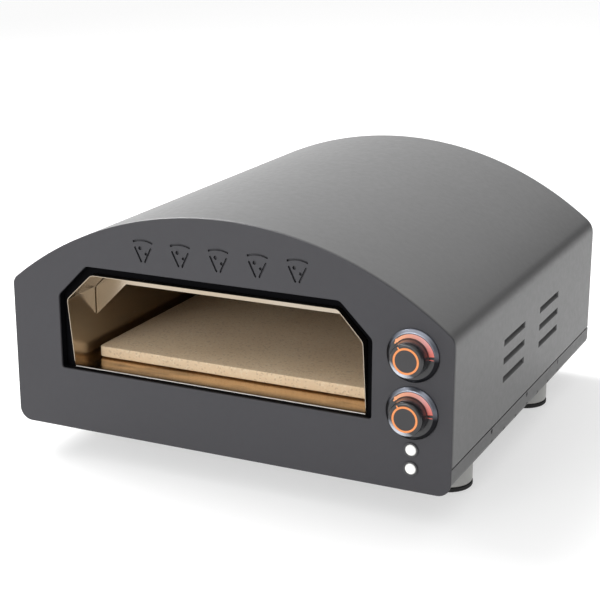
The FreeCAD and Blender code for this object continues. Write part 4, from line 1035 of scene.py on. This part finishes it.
def scale_ink_painted_glow(name, z):
    """Ink whose colour follows the angle: orange, pink, then salmon red, with a faint painted glow."""
    finish = Finish(name, roughness=0.38)
    right, _, up = from_centre(finish, z)
    angle = finish.node("ShaderNodeMath", {"operation": "ARCTAN2"}, {0: right, 1: up})
    along = angle * (1 / math.pi) + 0.5
    stops = [(0.14, (0.95, 0.36, 0.11)), (0.28, (0.93, 0.42, 0.22)), (0.50, (0.80, 0.36, 0.27)),
             (0.72, (0.76, 0.38, 0.37)), (0.96, (0.76, 0.16, 0.13))]
    ink = finish.ramp(along, stops)
    grit = finish.noise(1500.0, 2.0)
    finish.set("Base Color", finish.mix(grit * 0.25, ink, (0.35, 0.12, 0.09)))
    # Painted glow: the printed ink gives off a little light of its own colour.
    finish.set("Emission Color", ink)
    finish.set("Emission Strength", 0.15)
    return finish.material


for level, z in KNOB_Z.items():
    ink = scale_ink_painted_glow(f"{level}_scale_ink_painted_glow", z)
    marks = [heat_band(z), printed_spot(z, 19.2, -47, 1.7, 1.7), printed_spot(z, 18.4, 92, 2.6, 0.4)]
    piece(f"{level}_heat_scale", marks, "root", "lit_orange", finish=ink)

# %% [markdown]
# ## Indicator lamps
# Two snap-in lamps: a dark rim and a shallow domed lens, lit white.

# %% Lamps
LAMP_Z = {"upper": 40.0, "lower": 22.0}
LENS_R = 5.2


def lens_glow(name, z):
    """White in the middle and dimmer from 3.4 to 5.4 mm out, as a lens in front of one lamp."""
    finish = Finish(name, roughness=0.25)
    right, _, up = from_centre(finish, z)
    radius = finish.node("ShaderNodeMath", {"operation": "SQRT"}, {0: right * right + up * up})
    cloud = finish.noise(260.0, 2.0)
    glow = finish.mix(radius.over(0.0042, 0.0024), (1.0, 0.99, 0.97), (0.16, 0.16, 0.155))
    finish.set("Base Color", (0.35, 0.35, 0.34))
    finish.set("Emission Color", finish.mix(cloud * 0.1, glow, (0.6, 0.6, 0.58)))
    finish.set("Emission Strength", 1.1)
    return finish.material


rim_plastic = moulded("lamp_rim_moulding", (0.045, 0.045, 0.048), 0.40)
for level, z in LAMP_Z.items():
    inner = LENS_R + 0.1
    rim = rounded([(inner, -0.3), (inner, -1.4), (6.2, -1.4), (7.0, -0.9), (7.0, 0.0), (inner, 0.0)], 0.3)
    piece(f"{level}_lamp_rim", [turned_y(rim, KNOB_X, z, 64)], "root", "inlet_plastic",
          [f"{level}_lamp_holder"], finish=rim_plastic)
    r = np.linspace(0, LENS_R, 12)
    dome = np.column_stack([r, -2.3 + 11.0 - np.sqrt(11.0 ** 2 - r ** 2)])
    lens = np.concatenate([dome, [(LENS_R, 0.0), (3.6, 0.0), (3.6, 14.0), (0.0, 14.0)]])
    piece(f"{level}_lamp_dome", [turned_y(lens, KNOB_X, z, 64)], "root", "lamp_white",
          [f"{level}_lamp_lens"], finish=lens_glow(f"{level}_lens_glow", z))

# %% [markdown]
# ## Feet
# Each foot is a turned cup on a rubber pad.

# %% Feet
for end in ("front", "rear"):
    for hand in ("left", "right"):
        low, high = measured(f"foot_{end}_{hand}")
        x, y = (low[:2] + high[:2]) / 2
        z0, z1, r = low[2], high[2], (high[0] - low[0]) / 2
        cup = rounded([(3.2, z0), (r - 1, z0), (r, z0 + 1.5), (r, z1), (r - 2, z1), (r - 2, z0 + 4),
                       (7, z0 + 4), (7, z1), (3.2, z1), (3.2, z0)], 1.2)
        piece(f"foot_cup_{end}_{hand}", [turned_z(cup, x, y)], "root", "foot_paint",
              [f"foot_{end}_{hand}"])
        low, high = measured(f"pad_{end}_{hand}")
        p0, p1, q = low[2], high[2], (high[0] - low[0]) / 2
        pad = rounded([(8, p1), (8, p0), (16, p0), (17, p0 + 0.7), (19, p0 + 0.7), (20, p0),
                       (q - 1.0, p0), (q, p0 + 1.0), (q, p1 - 0.4), (q - 0.4, p1), (8, p1)], 0.4)
        piece(f"foot_pad_{end}_{hand}", [turned_z(pad, x, y)], "root", "pad_rubber",
              [f"pad_{end}_{hand}"])

# %% [markdown]
# ## The floor
# A wide pale floor under the feet, not attached to the oven.

# %% Floor
def floor_finish():
    """Backlit white board: matt, with a barely visible drift in tone and a glow of its own."""
    finish = Finish("floor_board", roughness=0.9, specular_ior_level=0.2)
    finish.set("Base Color", finish.mix(finish.noise(0.8, 1.0), (0.52, 0.52, 0.52), (0.53, 0.53, 0.53)))
    finish.set("Emission Color", (1.0, 1.0, 1.0))
    finish.set("Emission Strength", 0.52)
    return finish.material


def pale_floor():
    """A flat grid 80 m across, at the height of the oven's pads."""
    side = np.linspace(-40, 40, 9)
    grid = np.stack(np.broadcast_arrays(side[:, None], side, cad_low.z), -1)
    points, faces = quads(np.array(grid))
    mesh = bpy.data.meshes.new("floor")
    mesh.from_pydata(points.tolist(), [], faces)
    made = bpy.data.objects.new("floor", mesh)
    bpy.context.scene.collection.objects.link(made)
    mesh.materials.append(floor_finish())


pale_floor()
